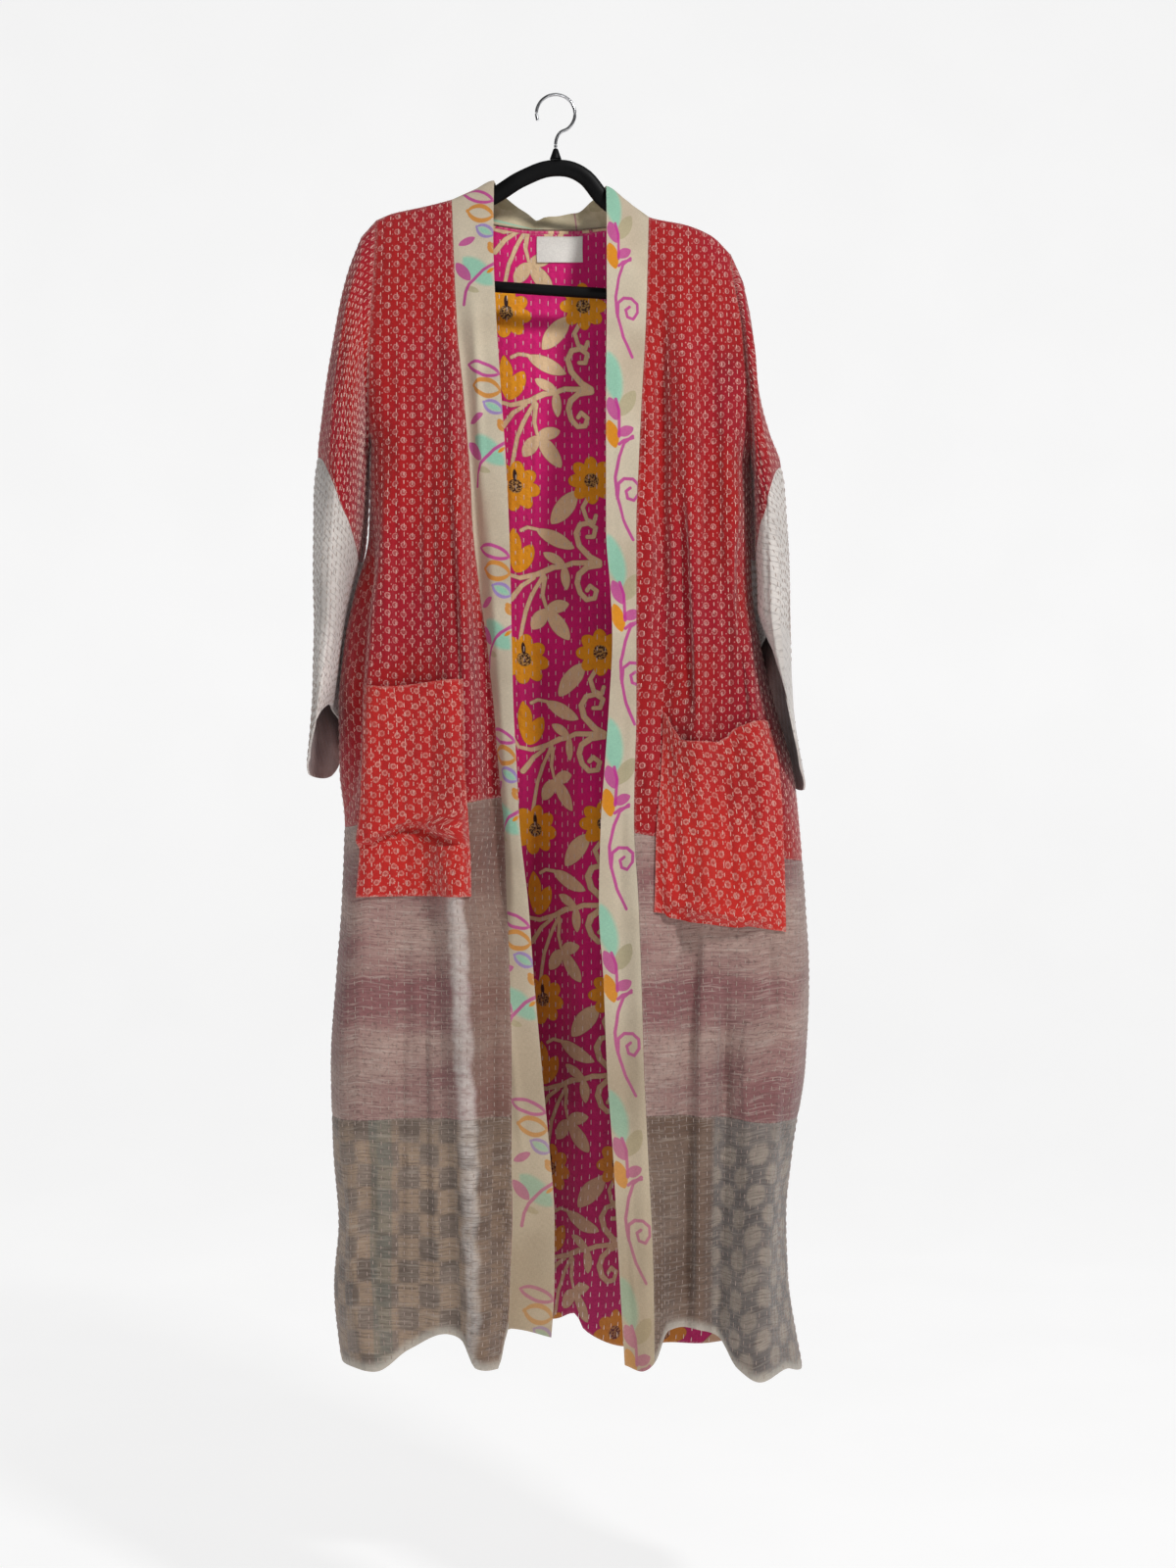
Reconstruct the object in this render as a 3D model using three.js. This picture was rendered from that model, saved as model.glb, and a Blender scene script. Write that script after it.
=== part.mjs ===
// Long open-front robe of quilted patchwork cotton, hanging on a plastic coat hanger.
// Millimetres, Z up. The robe faces -Y, and left and right are as seen from the front.
// The origin is the inside top of the hook, where a rail carries the hanger.
import * as THREE from 'three';

// Walls and seams
const CLOTH = 2;
const BAND_CLOTH = 3;
const LINING_CLOTH = 1.2;
const SEAM_GAP = 0.3;
const HALF_SEAM = SEAM_GAP / 2;

// Heights below the hook
const UNDERARM_LEFT = -400;
const UNDERARM_RIGHT = -420;

// Columns of the grids: the turn at a side, the front panel, the band and the back
const TURN_COLUMNS = 4;
const FRONT_COLUMNS = 11;
const BAND_COLUMNS = 3;
const BACK_SHOULDER_COLUMNS = 3;
const TURN_WIDTH = 36;

// Share of the way from the shoulder ridge to the underarm, one for each row there
const ARM_ROWS = [0, 0.005, 0.016, 0.04, 0.09, 0.19, 0.34, 0.52, 0.7, 0.87, 1];
const ROWS_TO_UPPER_SEAM = 8;
const ROWS_TO_LOWER_SEAM = 6;
const ROWS_TO_HEM = 5;
const ARM_ROW = ARM_ROWS.length - 1;
const UPPER_SEAM_ROW = ARM_ROW + ROWS_TO_UPPER_SEAM;
const LOWER_SEAM_ROW = UPPER_SEAM_ROW + ROWS_TO_LOWER_SEAM;
const HEM_ROW = LOWER_SEAM_ROW + ROWS_TO_HEM;

// Shoulder ridge from the left armhole to the right one
const RIDGE = [
  { x: -203, z: -141 },
  { x: -186, z: -134 },
  { x: -150, z: -126 },
  { x: -119, z: -118 },
  { x: -95, z: -108 },
  { x: -70, z: -96 },
  { x: 57, z: -102 },
  { x: 80, z: -118 },
  { x: 107, z: -138 },
  { x: 149, z: -147 },
  { x: 177, z: -159 },
  { x: 199, z: -180 },
];
const NECK_LEFT = { outer: -119, inner: -70 };
const NECK_RIGHT = { inner: 57, outer: 107 };

// Half depth of the body against the drop below the shoulder
const DEPTH = [
  { drop: 0, front: 0.15, back: 0.15 },
  { drop: 1.4, front: 5.5, back: 5.5 },
  { drop: 4.5, front: 10, back: 10 },
  { drop: 11, front: 13, back: 13 },
  { drop: 25, front: 17, back: 16 },
  { drop: 50, front: 23, back: 21 },
  { drop: 85, front: 30, back: 27 },
  { drop: 130, front: 37, back: 34 },
  { drop: 180, front: 43, back: 40 },
  { drop: 282, front: 51, back: 48 },
  { drop: 430, front: 57, back: 55 },
  { drop: 600, front: 62, back: 60 },
  { drop: 750, front: 66, back: 66 },
  { drop: 900, front: 70, back: 72 },
  { drop: 1030, front: 74, back: 76 },
  { drop: 1180, front: 80, back: 80 },
  { drop: 1360, front: 86, back: 84 },
];

// Sides of the body, and the edges of the front bands
const OUTLINE = [
  { z: -96, left: -203, leftBand: -119, leftOpening: -70, rightOpening: 57, rightBand: 107, right: 199 },
  { z: -180, left: -204, leftBand: -115, leftOpening: -70, rightOpening: 58, rightBand: 105, right: 199 },
  { z: -270, left: -208, leftBand: -110, leftOpening: -66, rightOpening: 58, rightBand: 102, right: 211 },
  { z: -340, left: -210, leftBand: -103, leftOpening: -61, rightOpening: 57, rightBand: 98, right: 217 },
  { z: -420, left: -211, leftBand: -96, leftOpening: -55, rightOpening: 57, rightBand: 94, right: 221 },
  { z: -500, left: -213, leftBand: -91, leftOpening: -51, rightOpening: 57, rightBand: 91, right: 222 },
  { z: -570, left: -230, leftBand: -84, leftOpening: -49, rightOpening: 62, rightBand: 91, right: 224 },
  { z: -620, left: -240, leftBand: -78, leftOpening: -48, rightOpening: 64, rightBand: 91, right: 232 },
  { z: -700, left: -247, leftBand: -70, leftOpening: -46, rightOpening: 60, rightBand: 91, right: 251 },
  { z: -770, left: -246, leftBand: -65, leftOpening: -42, rightOpening: 55, rightBand: 89, right: 270 },
  { z: -830, left: -240, leftBand: -59, leftOpening: -39, rightOpening: 51, rightBand: 88, right: 277 },
  { z: -920, left: -243, leftBand: -54, leftOpening: -29, rightOpening: 49, rightBand: 93, right: 284 },
  { z: -1000, left: -249, leftBand: -50, leftOpening: -23, rightOpening: 54, rightBand: 96, right: 288 },
  { z: -1100, left: -255, leftBand: -48, leftOpening: -14, rightOpening: 58, rightBand: 99, right: 284 },
  { z: -1200, left: -252, leftBand: -48, leftOpening: -5, rightOpening: 65, rightBand: 104, right: 269 },
  { z: -1280, left: -246, leftBand: -47, leftOpening: 0, rightOpening: 69, rightBand: 108, right: 262 },
  { z: -1350, left: -251, leftBand: -49, leftOpening: 0, rightOpening: 73, rightBand: 110, right: 264 },
  { z: -1450, left: -241, leftBand: -52, leftOpening: -5, rightOpening: 79, rightBand: 111, right: 281 },
];

// The two joins of the patchwork, at the sides and beside the bands
const UPPER_SEAM = { left: -833, leftBand: -798, rightBand: -838, right: -871 };
const LOWER_SEAM = { left: -1158, leftBand: -1152, rightBand: -1150, right: -1160 };

// Hem of the two fronts, bands included, and hem of the back
const FRONT_HEM = [
  { x: -245, z: -1432 },
  { x: -215, z: -1428 },
  { x: -195, z: -1429 },
  { x: -160, z: -1409 },
  { x: -121, z: -1391 },
  { x: -103, z: -1396 },
  { x: -85, z: -1424 },
  { x: -62, z: -1427 },
  { x: -50, z: -1385 },
  { x: -5, z: -1393 },
  { x: 78, z: -1424 },
  { x: 95, z: -1430 },
  { x: 111, z: -1420 },
  { x: 126, z: -1388 },
  { x: 153, z: -1386 },
  { x: 182, z: -1398 },
  { x: 200, z: -1425 },
  { x: 225, z: -1436 },
  { x: 255, z: -1430 },
  { x: 281, z: -1444 },
];
const BACK_HEM = [
  { x: -245, z: -1432 },
  { x: -120, z: -1420 },
  { x: 0, z: -1414 },
  { x: 24, z: -1404 },
  { x: 34, z: -1422 },
  { x: 80, z: -1444 },
  { x: 180, z: -1440 },
  { x: 281, z: -1444 },
];

// Folds that stand out of the fronts. From and full are heights where a fold begins and is whole,
// top and bottom its middle at from and at the hem, and end where it has died away again.
const FRONT_FOLDS = [
  { name: 'ridge by band', from: -170, full: -330, top: -106, bottom: -104, width: 30, out: 13, end: -880 },
  { name: 'valley by band', from: -190, full: -330, top: -112, bottom: -62, width: 20, out: -14, end: -900 },
  { name: 'long left ridge', from: -780, full: -950, top: -118, bottom: -80, width: 30, out: 22 },
  { name: 'left side flare', from: -1150, full: -1430, top: -246, bottom: -200, width: 34, out: 16 },
  { name: 'left middle hollow', from: -420, full: -620, top: -165, bottom: -165, width: 44, out: -7 },
  { name: 'right band strip', from: -780, full: -900, top: 92, bottom: 108, width: 26, out: 12 },
  { name: 'inner ridge', from: -170, full: -380, top: 140, bottom: 160, width: 22, out: 12, end: -740 },
  { name: 'inner valley', from: -170, full: -380, top: 118, bottom: 120, width: 18, out: -8, end: -760 },
  { name: 'outer ridge', from: -250, full: -480, top: 186, bottom: 220, width: 24, out: 11, end: -740 },
  { name: 'right lower valley', from: -860, full: -980, top: 150, bottom: 140, width: 20, out: -13 },
  { name: 'right middle valley', from: -1000, full: -1120, top: 194, bottom: 178, width: 20, out: -16 },
  { name: 'right tube', from: -1040, full: -1300, top: 232, bottom: 222, width: 42, out: 34 },
];
const BACK_FOLDS = [
  { name: 'left hollow', from: -560, full: -760, top: -8, bottom: -6, width: 34, out: 13 },
  { name: 'right lap', from: -560, full: -760, top: 40, bottom: 44, width: 34, out: -12 },
  { name: 'left back ridge', from: -300, full: -700, top: -120, bottom: -130, width: 42, out: 12 },
  { name: 'left side ridge', from: -900, full: -1200, top: -200, bottom: -196, width: 36, out: 14 },
  { name: 'right back ridge', from: -300, full: -700, top: 118, bottom: 128, width: 40, out: 12 },
  { name: 'right side ridge', from: -900, full: -1200, top: 205, bottom: 208, width: 38, out: 18 },
];
const FOLD_FADE = 90;
const HEM_MIDDLE = -1430;
const FOLDS_START_DROP = 60;

// Front bands: height of their hem, and how far they roll out of the front, whole at a drop
const BAND_HEM = -1425;
const BAND_ROLL = { out: 5, drop: 200 };

// Size of the turn at the open armhole, as a share of a right angle's sine
const ARMHOLE_TURN = 0.9;

// Back neckline, where the neck band is sewn on
const NECKLINE = [
  { x: -119, y: 0.15, z: -118 },
  { x: -115, y: 9, z: -122 },
  { x: -109, y: 14, z: -127 },
  { x: -95, y: 21, z: -134 },
  { x: -70, y: 31, z: -141 },
  { x: -25, y: 40, z: -146 },
  { x: 20, y: 40, z: -146 },
  { x: 57, y: 31, z: -144 },
  { x: 84, y: 21, z: -143 },
  { x: 98, y: 14, z: -141 },
  { x: 103, y: 9, z: -140 },
  { x: 107, y: 0.15, z: -138 },
];
const NECK_COLUMNS = [0, 0.025, 0.08, 0.2, 0.36, 0.5, 0.64, 0.8, 0.92, 0.975, 1];
const NECK_FADE = 240;

// Free edge of the neck band from its left end to its right end, by share of the way
const NECK_EDGE = [
  { share: 0, x: -70, y: 0.15, z: -96 },
  { share: 0.025, x: -69.5, y: 8, z: -98 },
  { share: 0.08, x: -67, y: 16, z: -101 },
  { share: 0.2, x: -56, y: 34, z: -110 },
  { share: 0.36, x: -34, y: 60, z: -120 },
  { share: 0.5, x: -4, y: 68, z: -123 },
  { share: 0.64, x: 22, y: 60, z: -119 },
  { share: 0.8, x: 42, y: 34, z: -111 },
  { share: 0.92, x: 54, y: 16, z: -105 },
  { share: 0.975, x: 56.5, y: 8, z: -103 },
  { share: 1, x: 57, y: 0.15, z: -102 },
];
const NECK_BAND_ROWS = 3;
const NECK_SEAM = 0.9;

// Sleeves: rings from the armhole to the mouth. The outer point is the fold over the arm. Front and
// back are how far the faces of the sleeve lean in over the body, whole at a distance before it.
const LEFT_SLEEVE = [
  { outerX: -221, outerZ: -160, innerX: -213, innerZ: -416, depth: 36, tilt: 0, front: 3, back: 4 },
  { outerX: -238, outerZ: -208, innerX: -214, innerZ: -434, depth: 48, tilt: 2, front: 4, back: 6 },
  { outerX: -251, outerZ: -268, innerX: -215, innerZ: -456, depth: 56, tilt: 3, front: 5, back: 8 },
  { outerX: -262, outerZ: -336, innerX: -217, innerZ: -484, depth: 62, tilt: 5, front: 6, back: 9 },
  { outerX: -271, outerZ: -414, innerX: -223, innerZ: -530, depth: 68, tilt: 7, front: 7, back: 10 },
  { outerX: -275, outerZ: -470, innerX: -231, innerZ: -558, depth: 72, tilt: 9, front: 8, back: 11 },
  { outerX: -276, outerZ: -535, innerX: -239, innerZ: -592, depth: 76, tilt: 12, front: 8, back: 12 },
  { outerX: -275, outerZ: -605, innerX: -244, innerZ: -628, depth: 80, tilt: 14, front: 8, back: 12 },
  { outerX: -276, outerZ: -680, innerX: -248, innerZ: -664, depth: 84, tilt: 17, front: 6, back: 12 },
  { outerX: -282, outerZ: -772, innerX: -253, innerZ: -700, depth: 88, tilt: 20, front: 4, back: 12 },
];
const RIGHT_SLEEVE = [
  { outerX: 213, outerZ: -212, innerX: 225, innerZ: -438, depth: 40, tilt: 0, front: 3, back: 4 },
  { outerX: 224, outerZ: -268, innerX: 226, innerZ: -460, depth: 50, tilt: 2, front: 4, back: 6 },
  { outerX: 231, outerZ: -335, innerX: 226, innerZ: -484, depth: 58, tilt: 3, front: 5, back: 8 },
  { outerX: 243, outerZ: -384, innerX: 227, innerZ: -506, depth: 64, tilt: 4, front: 6, back: 9 },
  { outerX: 257, outerZ: -425, innerX: 227, innerZ: -528, depth: 68, tilt: 5, front: 7, back: 10 },
  { outerX: 262, outerZ: -470, innerX: 228, innerZ: -550, depth: 72, tilt: 6, front: 8, back: 11 },
  { outerX: 266, outerZ: -530, innerX: 229, innerZ: -572, depth: 76, tilt: 8, front: 8, back: 12 },
  { outerX: 267, outerZ: -600, innerX: 230, innerZ: -592, depth: 80, tilt: 10, front: 8, back: 12 },
  { outerX: 271, outerZ: -698, innerX: 234, innerZ: -606, depth: 84, tilt: 11, front: 6, back: 12 },
  { outerX: 284, outerZ: -790, innerX: 238, innerZ: -617, depth: 86, tilt: 12, front: 4, back: 12 },
];
const LEAN_WHOLE = 70;
const CUFF_RING = 5;

// Patch pockets by their corners on the front panel, and how far their cloth stands off it
const LEFT_POCKET = {
  top: { left: -212, right: -103, leftZ: -674, rightZ: -667 },
  bottom: { left: -220, right: -94, leftZ: -910, rightZ: -908 },
  bulge: 9,
  mouth: 9,
};
const RIGHT_POCKET = {
  top: { left: 121, right: 236, leftZ: -704, rightZ: -714 },
  bottom: { left: 109, right: 256, leftZ: -926, rightZ: -948 },
  bulge: 15,
  mouth: 12,
};
const POCKET_LIFT = 0.8;
const POCKET_SAG = { start: 0.25, mouth: 0.4, fullness: 0.8 };
const NEAREST_LINE = 0.05;
const SEARCH = { turns: 12, halvings: 24 };

// Label inside the back, below the neck band
const LABEL = { left: -22, right: 31, top: -151, bottom: -181, cloth: 1, lift: 0.5 };

// Hanger
const YOKE = { height: 19, depth: 11, drop: 17.5, arch: -81.8, bend: 0.0085, left: -190, right: 178, steps: 28 };
const YOKE_ARCH_X = [-36, 0, 28];
const BAR = { size: 12.6, left: -182, right: 166, middle: -219.4, slope: -0.0536, turn: 22, steps: 24 };
const BOSS = { top: -60, topRadius: 2.6, bottomRadius: 6.8 };
const HOOK = { wire: 1.9, inside: 20, shank: -59.7, end: 200, steps: 24 };

const smooth = (share) => {
  const s = Math.min(1, Math.max(0, share));
  return s * s * (3 - 2 * s);
};

const mix = (a, b, share) => a + (b - a) * share;

// Value of one column of a table, on a smooth line that never overshoots its rows
function read(table, key, at, column) {
  const sign = table[1][key] > table[0][key] ? 1 : -1;
  const last = table.length - 1;
  let row = 0;
  while (row < last - 1 && sign * at > sign * table[row + 1][key]) row += 1;
  const slope = (i) => (table[i + 1][column] - table[i][column]) / (table[i + 1][key] - table[i][key]);
  const tangent = (i) => {
    if (i === 0) return slope(0);
    if (i === last) return slope(last - 1);
    const before = slope(i - 1);
    const after = slope(i);
    return before * after <= 0 ? 0 : (2 * before * after) / (before + after);
  };
  const span = table[row + 1][key] - table[row][key];
  const s = Math.min(1, Math.max(0, (at - table[row][key]) / span));
  const square = s * s;
  const cube = square * s;
  return (2 * cube - 3 * square + 1) * table[row][column]
    + (cube - 2 * square + s) * span * tangent(row)
    + (3 * square - 2 * cube) * table[row + 1][column]
    + (cube - square) * span * tangent(row + 1);
}

const outline = (column, z) => read(OUTLINE, 'z', z, column);
const ridge = (x) => read(RIDGE, 'x', x, 'z');

// How far the folds of a table push the cloth out at a place
function folds(table, x, z) {
  let out = 0;
  for (const fold of table) {
    const grown = smooth((fold.from - z) / (fold.from - fold.full));
    const kept = fold.end ? smooth((z - fold.end + FOLD_FADE) / FOLD_FADE) : 1;
    const down = Math.min(1, Math.max(0, (fold.from - z) / (fold.from - (fold.end ?? HEM_MIDDLE))));
    const away = (x - mix(fold.top, fold.bottom, down)) / fold.width;
    if (Math.abs(away) < 1) out += fold.out * grown * kept * Math.cos(away * Math.PI / 2) ** 2;
  }
  return out;
}

// Height of a grid row at x, between a top edge, the underarm, the two joins and the hem
function height(row, top, underarm, upper, lower, hem) {
  if (row <= ARM_ROW) return mix(top, underarm, ARM_ROWS[row]);
  if (row <= UPPER_SEAM_ROW) return mix(underarm, upper, (row - ARM_ROW) / ROWS_TO_UPPER_SEAM);
  if (row <= LOWER_SEAM_ROW) return mix(upper, lower, (row - UPPER_SEAM_ROW) / ROWS_TO_LOWER_SEAM);
  return mix(lower, hem, (row - LOWER_SEAM_ROW) / ROWS_TO_HEM);
}

// Angle where the turn at a side begins: near a right angle at the open armhole, none below it
function turnStart(row) {
  if (row >= ARM_ROW) return 0;
  const share = ARM_ROWS[row];
  return Math.asin(ARMHOLE_TURN * Math.sqrt(1 - share ** 6));
}

// Heights of a row at a side edge
function sideHeight(side, row) {
  const left = side === 'left';
  return height(
    row,
    ridge(left ? RIDGE[0].x : RIDGE[RIDGE.length - 1].x),
    left ? UNDERARM_LEFT : UNDERARM_RIGHT,
    UPPER_SEAM[side],
    LOWER_SEAM[side],
    FRONT_HEM[left ? 0 : FRONT_HEM.length - 1].z,
  );
}

// One point of a front: columns run from the side over the turn and the panel to the band's edge
function frontPoint(side, row, column) {
  const left = side === 'left';
  const inward = left ? 1 : -1;
  const bandKey = left ? 'leftBand' : 'rightBand';
  const openingKey = left ? 'leftOpening' : 'rightOpening';
  const underarm = left ? UNDERARM_LEFT : UNDERARM_RIGHT;
  const sideZ = sideHeight(side, row);
  const edge = outline(side, sideZ);
  const start = turnStart(row);
  const turnEnd = edge + inward * TURN_WIDTH * Math.cos(start);
  const neckX = left ? NECK_LEFT.outer : NECK_RIGHT.outer;
  const bandZ = height(row, ridge(neckX), underarm, UPPER_SEAM[bandKey], LOWER_SEAM[bandKey], BAND_HEM);
  const bandX = outline(bandKey, bandZ);
  const openingX = outline(openingKey, bandZ);
  const turned = Math.min(1, column / TURN_COLUMNS);
  const angle = mix(start, Math.PI / 2, turned);
  let x = edge + inward * TURN_WIDTH * (Math.cos(start) - Math.cos(angle));
  if (column > TURN_COLUMNS) x = mix(turnEnd, bandX, (column - TURN_COLUMNS) / FRONT_COLUMNS);
  const across = Math.max(0, (column - TURN_COLUMNS - FRONT_COLUMNS) / BAND_COLUMNS);
  if (across > 0) x = mix(bandX, openingX, across);
  const share = Math.min(1, Math.max(0, (x - edge) / (bandX - edge)));
  const z = height(
    row,
    ridge(x),
    underarm,
    mix(UPPER_SEAM[side], UPPER_SEAM[bandKey], share),
    mix(LOWER_SEAM[side], LOWER_SEAM[bandKey], share),
    read(FRONT_HEM, 'x', x, 'z'),
  );
  const drop = ridge(x) - z;
  const depth = read(DEPTH, 'drop', drop, 'front');
  const bandRoll = BAND_ROLL.out * smooth(across) * smooth(drop / BAND_ROLL.drop);
  const fold = folds(FRONT_FOLDS, x, z) * smooth(drop / FOLDS_START_DROP) * Math.sin(angle) ** 2;
  const y = -Math.max(HALF_SEAM, depth * Math.sin(angle)) - fold - bandRoll;
  return new THREE.Vector3(x, row === 0 ? -HALF_SEAM : y, z);
}

// Where the back's columns stand along its top edge: left shoulder, neck, right shoulder
function backTopX() {
  const stations = [];
  const leftEnd = RIDGE[0].x + TURN_WIDTH * Math.cos(turnStart(0));
  const rightEnd = RIDGE[RIDGE.length - 1].x - TURN_WIDTH * Math.cos(turnStart(0));
  for (let i = 0; i < BACK_SHOULDER_COLUMNS; i += 1) {
    stations.push(mix(leftEnd, NECK_LEFT.outer, i / BACK_SHOULDER_COLUMNS));
  }
  for (const share of NECK_COLUMNS) stations.push(mix(NECK_LEFT.outer, NECK_RIGHT.outer, share));
  for (let i = 1; i <= BACK_SHOULDER_COLUMNS; i += 1) {
    stations.push(mix(NECK_RIGHT.outer, rightEnd, i / BACK_SHOULDER_COLUMNS));
  }
  return stations;
}

const BACK_TOP_X = backTopX();
const BACK_COLUMNS = BACK_TOP_X.length - 1;
const BACK_LAST = BACK_COLUMNS + 2 * TURN_COLUMNS;

// One point of the back: columns run from the right side to the left side
function backPoint(row, column) {
  const station = BACK_LAST - column - TURN_COLUMNS;
  const start = turnStart(row);
  const leftEdge = outline('left', sideHeight('left', row));
  const rightEdge = outline('right', sideHeight('right', row));
  const leftTurn = leftEdge + TURN_WIDTH * Math.cos(start);
  const rightTurn = rightEdge - TURN_WIDTH * Math.cos(start);
  let x = 0;
  let angle = Math.PI / 2;
  if (station < 0) {
    angle = mix(start, Math.PI / 2, (station + TURN_COLUMNS) / TURN_COLUMNS);
    x = leftEdge + TURN_WIDTH * (Math.cos(start) - Math.cos(angle));
  } else if (station > BACK_COLUMNS) {
    angle = mix(start, Math.PI / 2, (BACK_COLUMNS + TURN_COLUMNS - station) / TURN_COLUMNS);
    x = rightEdge - TURN_WIDTH * (Math.cos(start) - Math.cos(angle));
  } else {
    const spread = smooth(row / (UPPER_SEAM_ROW - 2));
    const even = mix(leftTurn, rightTurn, station / BACK_COLUMNS);
    const topShare = (BACK_TOP_X[station] - BACK_TOP_X[0]) / (BACK_TOP_X[BACK_COLUMNS] - BACK_TOP_X[0]);
    x = mix(mix(leftTurn, rightTurn, topShare), even, spread);
    if (row === 0) x = BACK_TOP_X[station];
  }
  const inNeck = x > NECK_LEFT.outer && x < NECK_RIGHT.outer;
  const top = inNeck ? read(NECKLINE, 'x', x, 'z') : ridge(x);
  const neckOut = inNeck ? read(NECKLINE, 'x', x, 'y') - HALF_SEAM : 0;
  const share = (x - leftEdge) / (rightEdge - leftEdge);
  const z = height(
    row,
    top,
    mix(UNDERARM_LEFT, UNDERARM_RIGHT, share),
    mix(UPPER_SEAM.left, UPPER_SEAM.right, share),
    mix(LOWER_SEAM.left, LOWER_SEAM.right, share),
    read(BACK_HEM, 'x', x, 'z'),
  );
  const drop = top - z;
  const depth = read(DEPTH, 'drop', drop, 'back');
  const neck = neckOut * (1 - smooth(drop / NECK_FADE));
  const fold = folds(BACK_FOLDS, x, z) * Math.sin(angle) ** 2;
  const y = Math.max(HALF_SEAM, Math.hypot(depth, neck) * Math.sin(angle)) + fold;
  return new THREE.Vector3(x, row === 0 ? neckOut + HALF_SEAM : y, z);
}

// A sheet is a grid of points with an outward direction at each. Rows run down, and columns
// run so that the outside is where down crosses along. A closed sheet joins last to first.
function sheet(rows, columns, place, closed = false) {
  const points = [];
  for (let r = 0; r < rows; r += 1) {
    points.push(Array.from({ length: columns }, (_, c) => place(r, c)));
  }
  return { points, normals: normalsOf(points, closed), closed };
}

function normalsOf(points, closed) {
  const rows = points.length;
  const columns = points[0].length;
  return points.map((line, r) => line.map((_, c) => {
    const before = closed ? (c + columns - 1) % columns : Math.max(0, c - 1);
    const after = closed ? (c + 1) % columns : Math.min(columns - 1, c + 1);
    const along = line[after].clone().sub(line[before]);
    const down = points[Math.min(rows - 1, r + 1)][c].clone().sub(points[Math.max(0, r - 1)][c]);
    return down.cross(along).normalize();
  }));
}

// Turns the directions of one edge into the plane where its neighbour begins
function flatten(normal, axis) {
  normal[axis] = 0;
  normal.normalize();
}

// Part of a sheet between whole rows and columns, pulled in by half a seam at the edges named
function cut(source, rowFrom, rowTo, columnFrom, columnTo, seams = 'top bottom start end') {
  const points = [];
  const normals = [];
  const pull = (point, towards) => point.add(towards.clone().sub(point).setLength(HALF_SEAM));
  for (let r = rowFrom; r <= rowTo; r += 1) {
    points.push(source.points[r].slice(columnFrom, columnTo + 1).map((p) => p.clone()));
    normals.push(source.normals[r].slice(columnFrom, columnTo + 1).map((n) => n.clone()));
  }
  const last = points.length - 1;
  const end = points[0].length - 1;
  if (seams.includes('top')) points[0].forEach((p, c) => pull(p, points[1][c]));
  if (seams.includes('bottom')) points[last].forEach((p, c) => pull(p, points[last - 1][c]));
  if (seams.includes('start')) points.forEach((line) => pull(line[0], line[1]));
  if (seams.includes('end')) points.forEach((line) => pull(line[end], line[end - 1]));
  return { points, normals, closed: source.closed };
}

// The same sheet moved out along its directions
function moved(source, distance) {
  const by = typeof distance === 'number' ? () => distance : distance;
  const points = source.points.map((line, r) => line.map((p, c) => (
    p.clone().addScaledVector(source.normals[r][c], by(r, c))
  )));
  return { points, normals: source.normals, closed: source.closed };
}

// Closed wall from a sheet, its thickness laid towards the inside
function wall(source, thickness) {
  const { points, normals, closed } = source;
  const rows = points.length;
  const columns = points[0].length;
  const positions = [];
  for (const depth of [0, thickness]) {
    points.forEach((line, r) => line.forEach((p, c) => {
      positions.push(...p.clone().addScaledVector(normals[r][c], -depth).toArray());
    }));
  }
  const inner = rows * columns;
  const at = (r, c) => r * columns + (c % columns);
  const faces = [];
  const spans = closed ? columns : columns - 1;
  for (let r = 0; r < rows - 1; r += 1) {
    for (let c = 0; c < spans; c += 1) {
      const [a, b, d, e] = [at(r, c), at(r + 1, c), at(r, c + 1), at(r + 1, c + 1)];
      faces.push(a, b, d, b, e, d);
      faces.push(inner + a, inner + d, inner + b, inner + b, inner + d, inner + e);
    }
  }
  for (let c = 0; c < spans; c += 1) {
    const [a, d] = [at(0, c), at(0, c + 1)];
    const [b, e] = [at(rows - 1, c), at(rows - 1, c + 1)];
    faces.push(a, d, inner + a, d, inner + d, inner + a);
    faces.push(e, b, inner + b, e, inner + b, inner + e);
  }
  for (let r = 0; r < rows - 1 && !closed; r += 1) {
    const [a, b] = [at(r, 0), at(r + 1, 0)];
    const [d, e] = [at(r, columns - 1), at(r + 1, columns - 1)];
    faces.push(b, a, inner + b, a, inner + a, inner + b);
    faces.push(d, e, inner + e, d, inner + e, inner + d);
  }
  const geometry = new THREE.BufferGeometry();
  geometry.setAttribute('position', new THREE.Float32BufferAttribute(positions, 3));
  geometry.setIndex(faces);
  return geometry;
}

const group = new THREE.Group();

function add(name, geometry, material) {
  const mesh = new THREE.Mesh(geometry, material);
  mesh.name = name;
  group.add(mesh);
}

function cloth(colour) {
  return new THREE.MeshStandardMaterial({ color: colour, roughness: 0.9, metalness: 0 });
}

const COLOURS = {
  red: '#b81e1e',
  mauve: '#967870',
  taupe: '#7d7369',
  cuff: '#b9b4ac',
  band: '#cdbea5',
  lining: '#b2145f',
  pocket: '#cd372d',
  label: '#f0eee8',
};

// The two fronts, each cut into three tiers and a band
const TIERS = [
  { name: 'upper', from: 0, to: UPPER_SEAM_ROW, colour: COLOURS.red },
  { name: 'middle', from: UPPER_SEAM_ROW, to: LOWER_SEAM_ROW, colour: COLOURS.mauve },
  { name: 'lower', from: LOWER_SEAM_ROW, to: HEM_ROW, colour: COLOURS.taupe },
];

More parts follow.
